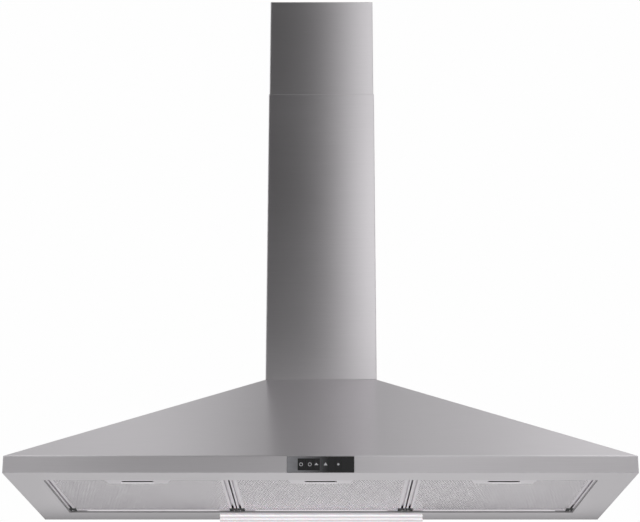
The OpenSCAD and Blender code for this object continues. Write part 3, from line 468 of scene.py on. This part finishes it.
class HoodFilters(bpy.types.PropertyGroup):
    """Aluminium mesh filters."""

    colour: bpy.props.FloatVectorProperty(
        name="Colour", description="Colour of the aluminium", subtype="COLOR", size=4,
        min=0, max=1, default=linear("#DDD9DD"))
    cell_width: bpy.props.FloatProperty(
        name="Cell width", description="Short way of a net opening", default=5 * MM,
        min=3 * MM, max=20 * MM, subtype="DISTANCE", unit="LENGTH")
    cell_length: bpy.props.FloatProperty(
        name="Cell length", description="Long way of a net opening", default=18 * MM,
        min=5 * MM, max=30 * MM, subtype="DISTANCE", unit="LENGTH")
    strand: bpy.props.FloatProperty(
        name="Strand", description="Width of a strand of the net", default=1.0 * MM,
        min=0.3 * MM, max=3 * MM, subtype="DISTANCE", unit="LENGTH")
    slot_bead: bpy.props.FloatProperty(
        name="Slot bead", description="Width of the rolled edge round a finger slot",
        default=2.4 * MM, min=1 * MM, max=4 * MM, subtype="DISTANCE", unit="LENGTH")
    bead_radius: bpy.props.FloatProperty(
        name="Bead radius", description="Radius of the rolled edge at a filter's rear",
        default=1.1 * MM, min=0.5 * MM, max=2 * MM, subtype="DISTANCE", unit="LENGTH")
    margin: bpy.props.FloatProperty(
        name="Margin", description="Depth of the pad's edge inside its frame",
        default=3.4 * MM, min=0, max=8 * MM, subtype="DISTANCE", unit="LENGTH")


class HoodControls(bpy.types.PropertyGroup):
    """Control fascia, keys and their marks."""

    colour: bpy.props.FloatVectorProperty(
        name="Colour", description="Colour of the fascia and the keys", subtype="COLOR",
        size=4, min=0, max=1, default=linear("#0B0B0D"))
    mark_colour: bpy.props.FloatVectorProperty(
        name="Mark colour", description="Colour of the printed marks", subtype="COLOR",
        size=4, min=0, max=1, default=linear("#B5B5B8"))
    mark_size: bpy.props.FloatProperty(
        name="Mark size", description="Height of a printed mark", default=7 * MM,
        min=2 * MM, max=10 * MM, subtype="DISTANCE", unit="LENGTH")


class HoodLamp(bpy.types.PropertyGroup):
    """Lamp cover."""

    colour: bpy.props.FloatVectorProperty(
        name="Colour", description="Colour of the lamp cover", subtype="COLOR", size=4,
        min=0, max=1, default=linear("#F8F5F8"))
    glow: bpy.props.FloatProperty(
        name="Glow", description="Light that the cover gives off", default=0.5, min=0,
        max=2)
    band: bpy.props.FloatProperty(
        name="Band", description="Distance between the bands of light in the cover",
        default=7.3 * MM, min=3 * MM, max=12 * MM, subtype="DISTANCE", unit="LENGTH")
    band_start: bpy.props.FloatProperty(
        name="Band start", description="Height of the middle of the uppermost band",
        default=-3.4 * MM, min=-20 * MM, max=0, subtype="DISTANCE", unit="LENGTH")


class HoodStage(bpy.types.PropertyGroup):
    """Camera, floor and studio surroundings."""

    camera_place: bpy.props.FloatVectorProperty(
        name="Camera place", description="Where the camera stands", size=3,
        default=(0.0122, -3.5559, -0.6264), subtype="TRANSLATION", unit="LENGTH")
    camera_pitch: bpy.props.FloatProperty(
        name="Camera pitch", description="Angle that the camera looks up by",
        default=math.radians(18.272), subtype="ANGLE", unit="ROTATION")
    lens: bpy.props.FloatProperty(
        name="Lens", description="Focal length in millimetres", default=92.5, min=10,
        max=300, unit="CAMERA")
    shift: bpy.props.FloatVectorProperty(
        name="Shift", description="Shift of the lens", size=2, default=(-0.0109, 0.03))
    floor_height: bpy.props.FloatProperty(
        name="Floor height", description="Height of the floor below the hood",
        default=-1.65, subtype="DISTANCE", unit="LENGTH")
    floor_colour: bpy.props.FloatVectorProperty(
        name="Floor colour", description="Colour of the floor", subtype="COLOR", size=4,
        min=0, max=1, default=linear("#E9E9E8"))


class HOOD_OT_dress_canopy(bpy.types.Operator):
    """Brushed stainless canopy with its back panel"""

    bl_idname = "hood.dress_canopy"
    bl_label = "Canopy"

    def execute(self, context):
        steel = context.scene.hood_steel
        skin = brushed_stainless(
            "brushed_stainless", tuple(steel.colour), steel.roughness, steel.grain,
            steel.bend)
        dress("canopy_shell", skin, steel.fold)
        dress("back_panel", galvanised_sheet("galvanised_back", linear("#B4B8BC")))
        return {"FINISHED"}


class HOOD_OT_dress_chimney(bpy.types.Operator):
    """Telescopic chimney of two brushed stainless sections with its fixings"""

    bl_idname = "hood.dress_chimney"
    bl_label = "Chimney"

    def execute(self, context):
        steel = context.scene.hood_steel
        skin = bpy.data.materials["brushed_stainless"]
        dress("chimney_lower", skin, steel.fold)
        dress("chimney_upper", skin, steel.fold)
        zinc = galvanised_sheet("galvanised_fixings", linear("#AEB3B8"))
        for node in ("chimney_collar", "ceiling_bracket", "chimney_screws"):
            dress(node, zinc)
        return {"FINISHED"}


class HOOD_OT_dress_underside(bpy.types.Operator):
    """Underside panel and the bars between the filters"""

    bl_idname = "hood.dress_underside"
    bl_label = "Underside"

    def seal(self, side, way, material):
        """Lip that closes the gap between an end of the opening and its filter."""
        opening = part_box("rear_strip")[way > 0].x
        low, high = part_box("filter_frame_" + side)
        filter_side = (low if way < 0 else high).x
        clear, height = 0.2 * MM, 3 * MM
        width = abs(opening - filter_side) - 2 * clear
        middle = Vector(((opening + filter_side) / 2, (low.y + high.y) / 2, low.z))
        shape = bmesh.new()
        bmesh.ops.create_cube(
            shape, size=1, matrix=Matrix.Translation(middle)
            @ Matrix.Diagonal((width, high.y - low.y, height, 1)))
        bmesh.ops.bevel(shape, geom=shape.edges[:], offset=width * 0.35, segments=3,
                        profile=0.5, affect="EDGES", material=-1)
        return make_piece("opening_seal_" + side, shape, material, "hood_body")

    def execute(self, context):
        steel = context.scene.hood_steel
        dress("underside_panel", bpy.data.materials["brushed_stainless"], steel.fold)
        dress("divider_bars", bpy.data.materials["brushed_stainless"])
        lip = moulded_plastic("silicone_lip", linear("#A5A2A5"), 0.5)
        for side, way in (("left", -1), ("right", 1)):
            self.seal(side, way, lip)
        # painted shade: the grey strip along the rear of the opening stands for the shade in
        # the gap there
        dress("rear_strip", moulded_plastic("rear_gap_painted_shade", linear("#9A989A"), 0.6))
        return {"FINISHED"}


class HOOD_OT_build_filters(bpy.types.Operator):
    """Three mesh filters: frame, pad, net, handle, slot rim, bead, corners and latch"""

    bl_idname = "hood.build_filters"
    bl_label = "Filters"

    def notch(self, side):
        """Planes round the handle plate, pairs of a point and a normal that points away."""
        low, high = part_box("filter_handle_" + side)
        plate = frame["nodes"]["filter_handle_" + side]
        corners = [plate.matrix_world @ vert.co for vert in plate.data.vertices]
        # the plate narrows to its rear end by this much on each side
        taper = high.x - max(
            corner.x for corner in corners if corner.y > high.y - 0.01 * MM)
        gap = 0.5 * MM
        planes = [(Vector((0, high.y + gap, 0)), Vector((0, 1, 0)))]
        for way, end in ((-1, low), (1, high)):
            normal = Vector((way * (high.y - low.y), taper, 0)).normalized()
            planes.append((Vector((end.x, low.y, 0)) + normal * gap, normal))
        return planes

    def cut_notch(self, shape, planes, cell_width, cell_length):
        """Opens the sheet of cells within the planes, and clears up along the cut."""
        for point, normal in planes:
            cut_across(shape, point, normal)
        inside = [face for face in shape.faces if all(
            (face.calc_center_median() - point).dot(normal) < 0 for point, normal in planes)]
        bmesh.ops.delete(shape, geom=inside, context="FACES")
        # the cuts ran on past the notch, and those edges are taken out again
        run_on = [edge for edge in shape.edges if not edge.is_boundary and any(
            all(abs((vert.co - point).dot(normal)) < 0.001 * MM for vert in edge.verts)
            for point, normal in planes)]
        bmesh.ops.dissolve_edges(shape, edges=run_on, use_verts=True)
        # a rim edge under this share of a cell is too short for two strands' width
        short = 0.22
        thin = [edge for edge in shape.edges if edge.is_boundary
                and abs(edge.verts[0].co.x - edge.verts[1].co.x) < cell_width * short
                and abs(edge.verts[0].co.y - edge.verts[1].co.y) < cell_length * short]
        bmesh.ops.collapse(shape, edges=thin)

    def net(self, settings, side, material):
        """Expanded mesh over the pad's lower face, cut round the handle."""
        low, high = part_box("filter_mesh_" + side)
        frame_low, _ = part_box("filter_frame_" + side)
        middle = (low + high) / 2
        width = high.x - low.x - 2 * settings.margin
        length = high.y - low.y - 2 * settings.margin
        reach = math.ceil(width / settings.cell_width + length / settings.cell_length) + 2
        reach += reach % 2
        # square cells are turned to stand on a corner, and stretched into diamonds
        shape = bmesh.new()
        bmesh.ops.create_grid(
            shape, x_segments=reach, y_segments=reach, size=reach / 2,
            matrix=Matrix.Rotation(math.radians(45), 4, "Z"))
        stretch = (settings.cell_width / math.sqrt(2), settings.cell_length / math.sqrt(2), 1)
        bmesh.ops.scale(shape, vec=stretch, verts=shape.verts)
        bmesh.ops.translate(shape, verts=shape.verts, vec=(middle.x, middle.y, low.z))
        for way in (-1, 1):
            cut_across(shape, middle + Vector((way * width / 2, 0, 0)), (way, 0, 0), True)
            cut_across(shape, middle + Vector((0, way * length / 2, 0)), (0, way, 0), True)
        self.cut_notch(
            shape, self.notch(side), settings.cell_width, settings.cell_length)
        bmesh.ops.wireframe(
            shape, faces=shape.faces, thickness=settings.strand, offset=0.0,
            use_replace=True, use_boundary=True, use_even_offset=True)
        # the strands are pressed flat, to under half of the room between pad and frame
        flat = (low.z - frame_low.z) * 0.45 / settings.strand
        bmesh.ops.translate(shape, verts=shape.verts, vec=(0, 0, -low.z))
        bmesh.ops.scale(shape, vec=(1, 1, flat), verts=shape.verts)
        # and then hang a hair's breadth under the pad
        drop = max(vert.co.z for vert in shape.verts) + 0.01 * MM
        bmesh.ops.translate(shape, verts=shape.verts, vec=(0, 0, low.z - drop))
        bmesh.ops.recalc_face_normals(shape, faces=shape.faces)
        piece = make_piece("filter_net_" + side, shape, material, "filter_" + side)
        return piece

    def slot_rim(self, settings, side, material):
        """Rolled edge round the finger slot, standing proud of the handle plate."""
        low, high = slot_space(side)
        plate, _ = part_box("filter_handle_" + side)
        middle = (low + high) / 2
        bead, rise = settings.slot_bead, settings.slot_bead * 0.7
        sunk, corner, tilt = 0.7 * MM, 3 * MM, math.radians(-7)
        shape = bmesh.new()
        bmesh.ops.create_grid(
            shape, x_segments=1, y_segments=1, size=0.5,
            matrix=Matrix.Translation((middle.x, middle.y, plate.z + sunk))
            @ Matrix.Diagonal(
                (high.x - low.x + 2 * bead, high.y - low.y + 2 * bead, 1, 1)))
        bmesh.ops.reverse_faces(shape, faces=shape.faces)
        bmesh.ops.bevel(shape, geom=shape.verts[:], offset=corner, segments=6, profile=0.5,
                        affect="VERTICES", material=-1)
        inner = shape.faces[:]
        for step, height in ((0.3, rise), (0.4, 0.0), (0.3, -rise)):
            bmesh.ops.inset_region(shape, faces=inner, thickness=bead * step, depth=height,
                                   use_boundary=True, use_even_offset=True)
        bmesh.ops.delete(shape, geom=inner, context="FACES_ONLY")
        bmesh.ops.bridge_loops(
            shape, edges=[edge for edge in shape.edges if edge.is_boundary])
        bmesh.ops.rotate(shape, cent=(middle.x, middle.y, plate.z), verts=shape.verts,
                         matrix=Matrix.Rotation(tilt, 3, "X"))
        bmesh.ops.recalc_face_normals(shape, faces=shape.faces)
        piece = make_piece("slot_rim_" + side, shape, material, "filter_" + side)
        return piece

    def rear_bead(self, settings, side, material):
        """Rolled edge under the frame's rear rail, between the corner blocks."""
        low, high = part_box("filter_frame_" + side)
        radius, corner_block, from_rear = settings.bead_radius, 36 * MM, 7 * MM
        middle = Vector(((low.x + high.x) / 2, high.y - from_rear, low.z))
        shape = bmesh.new()
        bmesh.ops.create_cone(
            shape, cap_ends=True, segments=12, radius1=radius, radius2=radius,
            depth=high.x - low.x - 2 * corner_block,
            matrix=Matrix.Translation(middle) @ Matrix.Rotation(math.radians(90), 4, "Y"))
        # only the two end caps have more than four corners
        ends = [edge for edge in shape.edges
                if any(len(face.verts) > 4 for face in edge.link_faces)]
        bmesh.ops.bevel(shape, geom=ends, offset=radius * 0.6, segments=3, profile=0.5,
                        affect="EDGES", material=-1)
        piece = make_piece("rear_bead_" + side, shape, material, "filter_" + side)
        return piece

    def execute(self, context):
        settings = context.scene.hood_filters
        colour = tuple(settings.colour)
        # painted highlight: the rolled edges get a lighter copy of the aluminium than the
        # frames
        highlight_aluminium = satin_aluminium("rolled_edge_painted_highlight", linear("#F4F1F4"), 0.2)
        strip = satin_aluminium("rolled_aluminium", colour)
        cell = (settings.cell_width, settings.cell_length)
        pad = layered_mesh("expanded_mesh_layers", linear("#F9F5F9"), *cell, 0.75)
        strands = layered_mesh("expanded_mesh_strands", linear("#FBF7FB"), *cell, 1.0)
        black = moulded_plastic("moulded_black", linear("#141416"), 0.8)
        for side in SIDES:
            dress("filter_frame_" + side, strip, 0.3 * MM)
            dress("filter_handle_" + side, strip)
            dress("filter_mesh_" + side, pad)
            dress("filter_corners_" + side, black, 0.3 * MM)
            dress("filter_latch_" + side, black)
            self.net(settings, side, strands)
            self.slot_rim(settings, side, highlight_aluminium)
            self.rear_bead(settings, side, highlight_aluminium)
        return {"FINISHED"}


class HOOD_OT_build_controls(bpy.types.Operator):
    """Glossy control fascia with five keys, their printed marks, and the box behind"""

    bl_idname = "hood.build_controls"
    bl_label = "Controls"

    def outline(self, key, size):
        """Flat mark of a key in the X-Z plane, facing -Y, round the origin."""
        shape = bmesh.new()
        upright = Matrix.Rotation(math.radians(90), 4, "X")
        # each symbol's radii, bars and stretches are shares of the mark's size
        if key in ("power", "speed"):
            for radius in (size / 2, size * 0.36):
                bmesh.ops.create_circle(shape, radius=radius, segments=32, matrix=upright)
            bmesh.ops.bridge_loops(shape, edges=shape.edges[:])
        if key == "power":
            bar = Matrix.Translation((0, 0, size * 0.3)) @ upright @ Matrix.Diagonal(
                (size * 0.1, size * 0.32, 1, 1))
            bmesh.ops.create_grid(shape, x_segments=1, y_segments=1, size=0.5, matrix=bar)
        if key in ("down", "up"):
            bmesh.ops.create_circle(shape, radius=size * 0.55, segments=3, cap_ends=True,
                                    matrix=upright)
            tall = 0.75 if key == "down" else 1.0
            bmesh.ops.scale(shape, vec=(1.1, 1, tall), verts=shape.verts)
        if key == "light":
            bmesh.ops.create_circle(shape, radius=size * 0.3, segments=24, cap_ends=True,
                                    matrix=upright)
        return shape

    def execute(self, context):
        settings = context.scene.hood_controls
        # the display window holds the first three keys and a border round them
        border = Vector((1, 1, 1)) * MM
        gloss = gloss_acrylic(
            "polished_acrylic", tuple(settings.colour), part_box("key_power")[0] - border,
            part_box("key_down")[1] + border)
        ink = printed_ink("printed_ink", tuple(settings.mark_colour))
        board = soldered_board("soldered_board", linear("#1F6B3C"))
        dress("control_fascia", gloss, 0.2 * MM)
        dress("control_box", bpy.data.materials["moulded_black"])
        dress("control_board", board)
        ink_proud, ink_depth = 0.06 * MM, 0.08 * MM
        for key in KEYS:
            dress("key_" + key, gloss, 0.1 * MM)
            low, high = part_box("key_" + key)
            shape = self.outline(key, settings.mark_size)
            face = Vector(((low.x + high.x) / 2, low.y - ink_proud, (low.z + high.z) / 2))
            bmesh.ops.translate(shape, verts=shape.verts, vec=face)
            thicken(shape, ink_depth)
            make_piece("mark_" + key, shape, ink, "key_" + key)
        return {"FINISHED"}


class HOOD_OT_dress_lamp(bpy.types.Operator):
    """Opal lamp cover with the tray and the lamps under it"""

    bl_idname = "hood.dress_lamp"
    bl_label = "Lamp"

    def execute(self, context):
        settings = context.scene.hood_lamp
        opal = opal_polycarbonate("opal_polycarbonate", tuple(settings.colour),
                                  settings.glow, settings.band, settings.band_start)
        dress("lamp_cover", opal)
        dress("lamp_tray", bpy.data.materials["galvanised_fixings"])
        dress("lamp_board", bpy.data.materials["soldered_board"])
        return {"FINISHED"}


class HOOD_OT_dress_blower(bpy.types.Operator):
    """Blower: volute, wheel, motor, outlet spigot and flaps"""

    bl_idname = "hood.dress_blower"
    bl_label = "Blower"

    def execute(self, context):
        grey = moulded_plastic("moulded_grey", linear("#5C5F63"), 0.5)
        zinc = bpy.data.materials["galvanised_fixings"]
        for node in ("volute_housing", "volute_side_left", "volute_side_right",
                     "wheel_disc", "wheel_blades", "wheel_rings", "duct_spigot"):
            dress(node, grey)
        for node in ("motor_mount", "motor", "blower_screws"):
            dress(node, zinc)
        dress("motor_shaft", bpy.data.materials["brushed_stainless"])
        for node in ("flap_front", "flap_rear"):
            dress(node, bpy.data.materials["rolled_aluminium"])
        return {"FINISHED"}


class HOOD_OT_dress_fittings(bpy.types.Operator):
    """Hanging brackets, screws, capacitor and electronics box"""

    bl_idname = "hood.dress_fittings"
    bl_label = "Fittings"

    def execute(self, context):
        zinc = bpy.data.materials["galvanised_fixings"]
        for node in ("hanging_bracket_left", "hanging_bracket_right", "canopy_screws"):
            dress(node, zinc)
        dress("capacitor", bpy.data.materials["moulded_black"])
        dress("electronics_box", bpy.data.materials["moulded_grey"])
        dress("electronics_lid", bpy.data.materials["moulded_grey"])
        return {"FINISHED"}


class HOOD_OT_build_stage(bpy.types.Operator):
    """Pale floor, soft surroundings, light cards and the camera"""

    bl_idname = "hood.build_stage"
    bl_label = "Stage"

    def surroundings(self, context):
        """Plain white behind the object, and a soft tent for light and reflections."""
        world = bpy.data.worlds.new("studio")
        world.use_nodes = True
        tree = world.node_tree
        tree.nodes.clear()
        way = add_node(tree, "ShaderNodeTexCoord").outputs["Generated"]
        parts = add_node(tree, "ShaderNodeSeparateXYZ", {"Vector": way})
        side, depth, height = (parts.outputs[axis] for axis in "XYZ")
        # levels of the light from ahead, from above and from the lamps overhead, each by
        # how far left or right the ray goes
        ahead = graded(tree, side, [
            (-0.9, 0.8), (-0.5, 0.65), (-0.3, 0.42), (-0.2, 0.4), (-0.15, 0.43), (-0.05, 0.48),
            (0.03, 0.64), (0.075, 0.74), (0.105, 0.75), (0.136, 0.65), (0.166, 0.45),
            (0.19, 0.34), (0.3, 0.42), (0.5, 0.65), (0.9, 0.8)])
        above = graded(tree, side, [
            (-0.8, 0.75), (-0.3, 0.62), (-0.15, 0.66), (-0.126, 0.82), (-0.1, 0.88),
            (-0.077, 0.81), (-0.053, 0.54), (-0.03, 0.28), (0.0, 0.26), (0.044, 0.62),
            (0.069, 0.54), (0.093, 0.57), (0.117, 0.7), (0.142, 0.84), (0.6, 0.85)])
        overhead = graded(tree, side, [
            (-0.4, 1.6), (-0.12, 1.8), (-0.06, 1.6), (-0.03, 0.1), (0.0, 0.1), (0.03, 1.2),
            (0.08, 2.0), (0.12, 2.2), (0.4, 2.0)])
        rising = add_node(tree, "ShaderNodeMapRange",
                          {"Value": height, "From Min": 0.3, "From Max": 0.8})
        tent = add_node(tree, "ShaderNodeMix", {"Factor": rising, "A": ahead, "B": above})
        before = add_node(tree, "ShaderNodeMapRange",
                          {"Value": depth, "From Min": -0.05, "From Max": -0.3})
        high_up = add_node(tree, "ShaderNodeMapRange",
                           {"Value": height, "From Min": 0.5, "From Max": 0.65})
        lamps = add_node(tree, "ShaderNodeMath", {0: before, 1: high_up},
                         operation="MULTIPLY")
        tent = add_node(tree, "ShaderNodeMix", {"Factor": lamps, "A": tent, "B": overhead})
        below = add_node(tree, "ShaderNodeMapRange",
                         {"Value": height, "From Min": 0.02, "From Max": -0.05})
        tent = add_node(tree, "ShaderNodeMix", {"Factor": below, "A": tent, "B": 0.3})
        rays = add_node(tree, "ShaderNodeLightPath")
        seen = add_node(tree, "ShaderNodeMix",
                        {"Factor": rays.outputs["Is Camera Ray"], "A": tent, "B": 1.0})
        light = add_node(tree, "ShaderNodeBackground",
                         {"Color": linear("#FEFEFE"), "Strength": seen})
        add_node(tree, "ShaderNodeOutputWorld", {"Surface": light})
        context.scene.world = world

    def card(self, name, corner_a, corner_b, **grades):
        """An upright card that only reflections see. Its light is graded along X and Z by
        stops, pairs of a place in metres and a level, and is their product."""
        shape = bmesh.new()
        a, b = Vector(corner_a), Vector(corner_b)
        span = b - a
        bmesh.ops.create_grid(shape, x_segments=1, y_segments=1, size=0.5,
                              matrix=Matrix.Rotation(math.radians(90), 4, "X"))
        bmesh.ops.scale(shape, vec=(span.x, 1, span.z), verts=shape.verts)
        bmesh.ops.translate(shape, verts=shape.verts, vec=(a + b) / 2)
        material, tree = blank_material(name)
        place = add_node(tree, "ShaderNodeTexCoord").outputs["Object"]
        parts = add_node(tree, "ShaderNodeSeparateXYZ", {"Vector": place})
        level = 1.0
        for axis, stops in grades.items():
            level = add_node(tree, "ShaderNodeMath",
                             {0: graded(tree, parts.outputs[axis], stops), 1: level},
                             operation="MULTIPLY")
        light = add_node(tree, "ShaderNodeEmission", {"Strength": level})
        add_node(tree, "ShaderNodeOutputMaterial", {"Surface": light})
        piece = new_object(name, shape, material)
        piece.visible_camera = False
        piece.visible_diffuse = False
        piece.visible_shadow = False

    def floor(self, settings):
        """Round pale floor well below the hood."""
        shape = bmesh.new()
        bmesh.ops.create_circle(
            shape, radius=6.0, segments=96, cap_ends=True,
            matrix=Matrix.Translation((0, 0, settings.floor_height)))
        material, tree, shader = new_finish("painted_floor", Roughness=0.7)
        place = add_node(tree, "ShaderNodeTexCoord").outputs["Object"]
        clouds = unevenness(tree, place, (500 * MM, 500 * MM, 500 * MM))
        colour = tuple(settings.floor_colour)
        toned = add_node(tree, "ShaderNodeMix",
                         {"Factor": clouds, "A": shaded(colour, 0.98), "B": colour},
                         data_type="RGBA")
        set_inputs(tree, shader, {"Base Color": toned})
        rays = add_node(tree, "ShaderNodeLightPath")
        white = add_node(tree, "ShaderNodeEmission")
        seen = add_node(tree, "ShaderNodeMixShader",
                        {"Fac": rays.outputs["Is Glossy Ray"], 1: shader, 2: white})
        set_inputs(tree, tree.nodes["Material Output"], {"Surface": seen})
        floor = new_object("floor", shape, material)

    def camera(self, context, settings):
        """Camera at the photograph's viewing angle, from a little below."""
        lens = bpy.data.cameras.new("camera")
        lens.lens = settings.lens
        lens.shift_x, lens.shift_y = settings.shift
        camera = bpy.data.objects.new("camera", lens)
        camera.location = settings.camera_place
        camera.rotation_euler = (math.radians(90) + settings.camera_pitch, 0, 0)
        context.scene.collection.objects.link(camera)
        context.scene.camera = camera

    def execute(self, context):
        settings = context.scene.hood_stage
        self.surroundings(context)
        self.floor(settings)
        # the chimney's front shows the first card: dim on its left, bright on its right
        card_distance = 0.97
        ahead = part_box("chimney_lower")[0].y - card_distance
        self.card("front_card", (-0.6, ahead, 0.45), (0.6, ahead, 3.4),
                  X=[(-0.6, 0.3), (-0.3, 0.06), (-0.08, 0.045), (-0.03, 0.04), (0.0, 0.045),
                     (0.04, 0.235), (0.08, 0.71), (0.12, 1.3), (0.2, 1.5), (0.6, 1.0)],
                  Z=[(0.45, 1.12), (0.75, 1.08), (1.0, 1.0), (1.2, 0.89), (3.4, 0.87)])
        # the second stands in for the wall below the hood, as the underside shows it
        self.card("wall_card", (-0.9, 0.03, -0.6), (0.9, 0.03, -0.002),
                  Z=[(-0.6, 0.68), (-0.2, 0.68), (-0.11, 0.7), (-0.09, 1.12), (-0.075, 0.99),
                     (-0.057, 0.65), (-0.044, 0.47), (-0.03, 0.34), (-0.015, 0.42),
                     (-0.002, 0.2)],
                  X=[(-0.9, 0.9), (-0.64, 0.92), (-0.6, 0.96), (-0.24, 0.97), (-0.18, 1.03),
                     (0.54, 1.04), (0.6, 0.95), (0.9, 0.92)])
        self.camera(context, settings)
        context.scene.view_settings.view_transform = "Standard"
        return {"FINISHED"}


class HOOD_PT_panel(bpy.types.Panel):
    """Lists the operators and the settings of the range hood"""

    bl_idname = "HOOD_PT_panel"
    bl_label = "Range hood"
    bl_space_type = "VIEW_3D"
    bl_region_type = "UI"
    bl_category = "Range hood"

    def draw(self, context):
        column = self.layout.column()
        for operator in OPERATORS:
            column.operator(operator.bl_idname)
        for name, group in SETTINGS.items():
            column.separator()
            for setting in group.__annotations__:
                column.prop(getattr(context.scene, name), setting)


SETTINGS = {
    "hood_steel": HoodSteel,
    "hood_filters": HoodFilters,
    "hood_controls": HoodControls,
    "hood_lamp": HoodLamp,
    "hood_stage": HoodStage,
}
OPERATORS = (
    HOOD_OT_dress_canopy,
    HOOD_OT_dress_chimney,
    HOOD_OT_dress_underside,
    HOOD_OT_build_filters,
    HOOD_OT_build_controls,
    HOOD_OT_dress_lamp,
    HOOD_OT_dress_blower,
    HOOD_OT_dress_fittings,
    HOOD_OT_build_stage,
)


def register():
    """Registers the settings, the operators and the panel."""
    for group in (*SETTINGS.values(), *OPERATORS, HOOD_PT_panel):
        bpy.utils.register_class(group)
    for name, group in SETTINGS.items():
        setattr(bpy.types.Scene, name, bpy.props.PointerProperty(type=group))


def unregister():
    """Takes the settings, the operators and the panel away again."""
    for name in SETTINGS:
        delattr(bpy.types.Scene, name)
    for group in reversed((*SETTINGS.values(), *OPERATORS, HOOD_PT_panel)):
        bpy.utils.unregister_class(group)


def main():
    """Dresses the hood."""
    register()
    for operator in OPERATORS:
        family, name = operator.bl_idname.split(".")
        getattr(getattr(bpy.ops, family), name)()


if __name__ == "__main__":
    main()
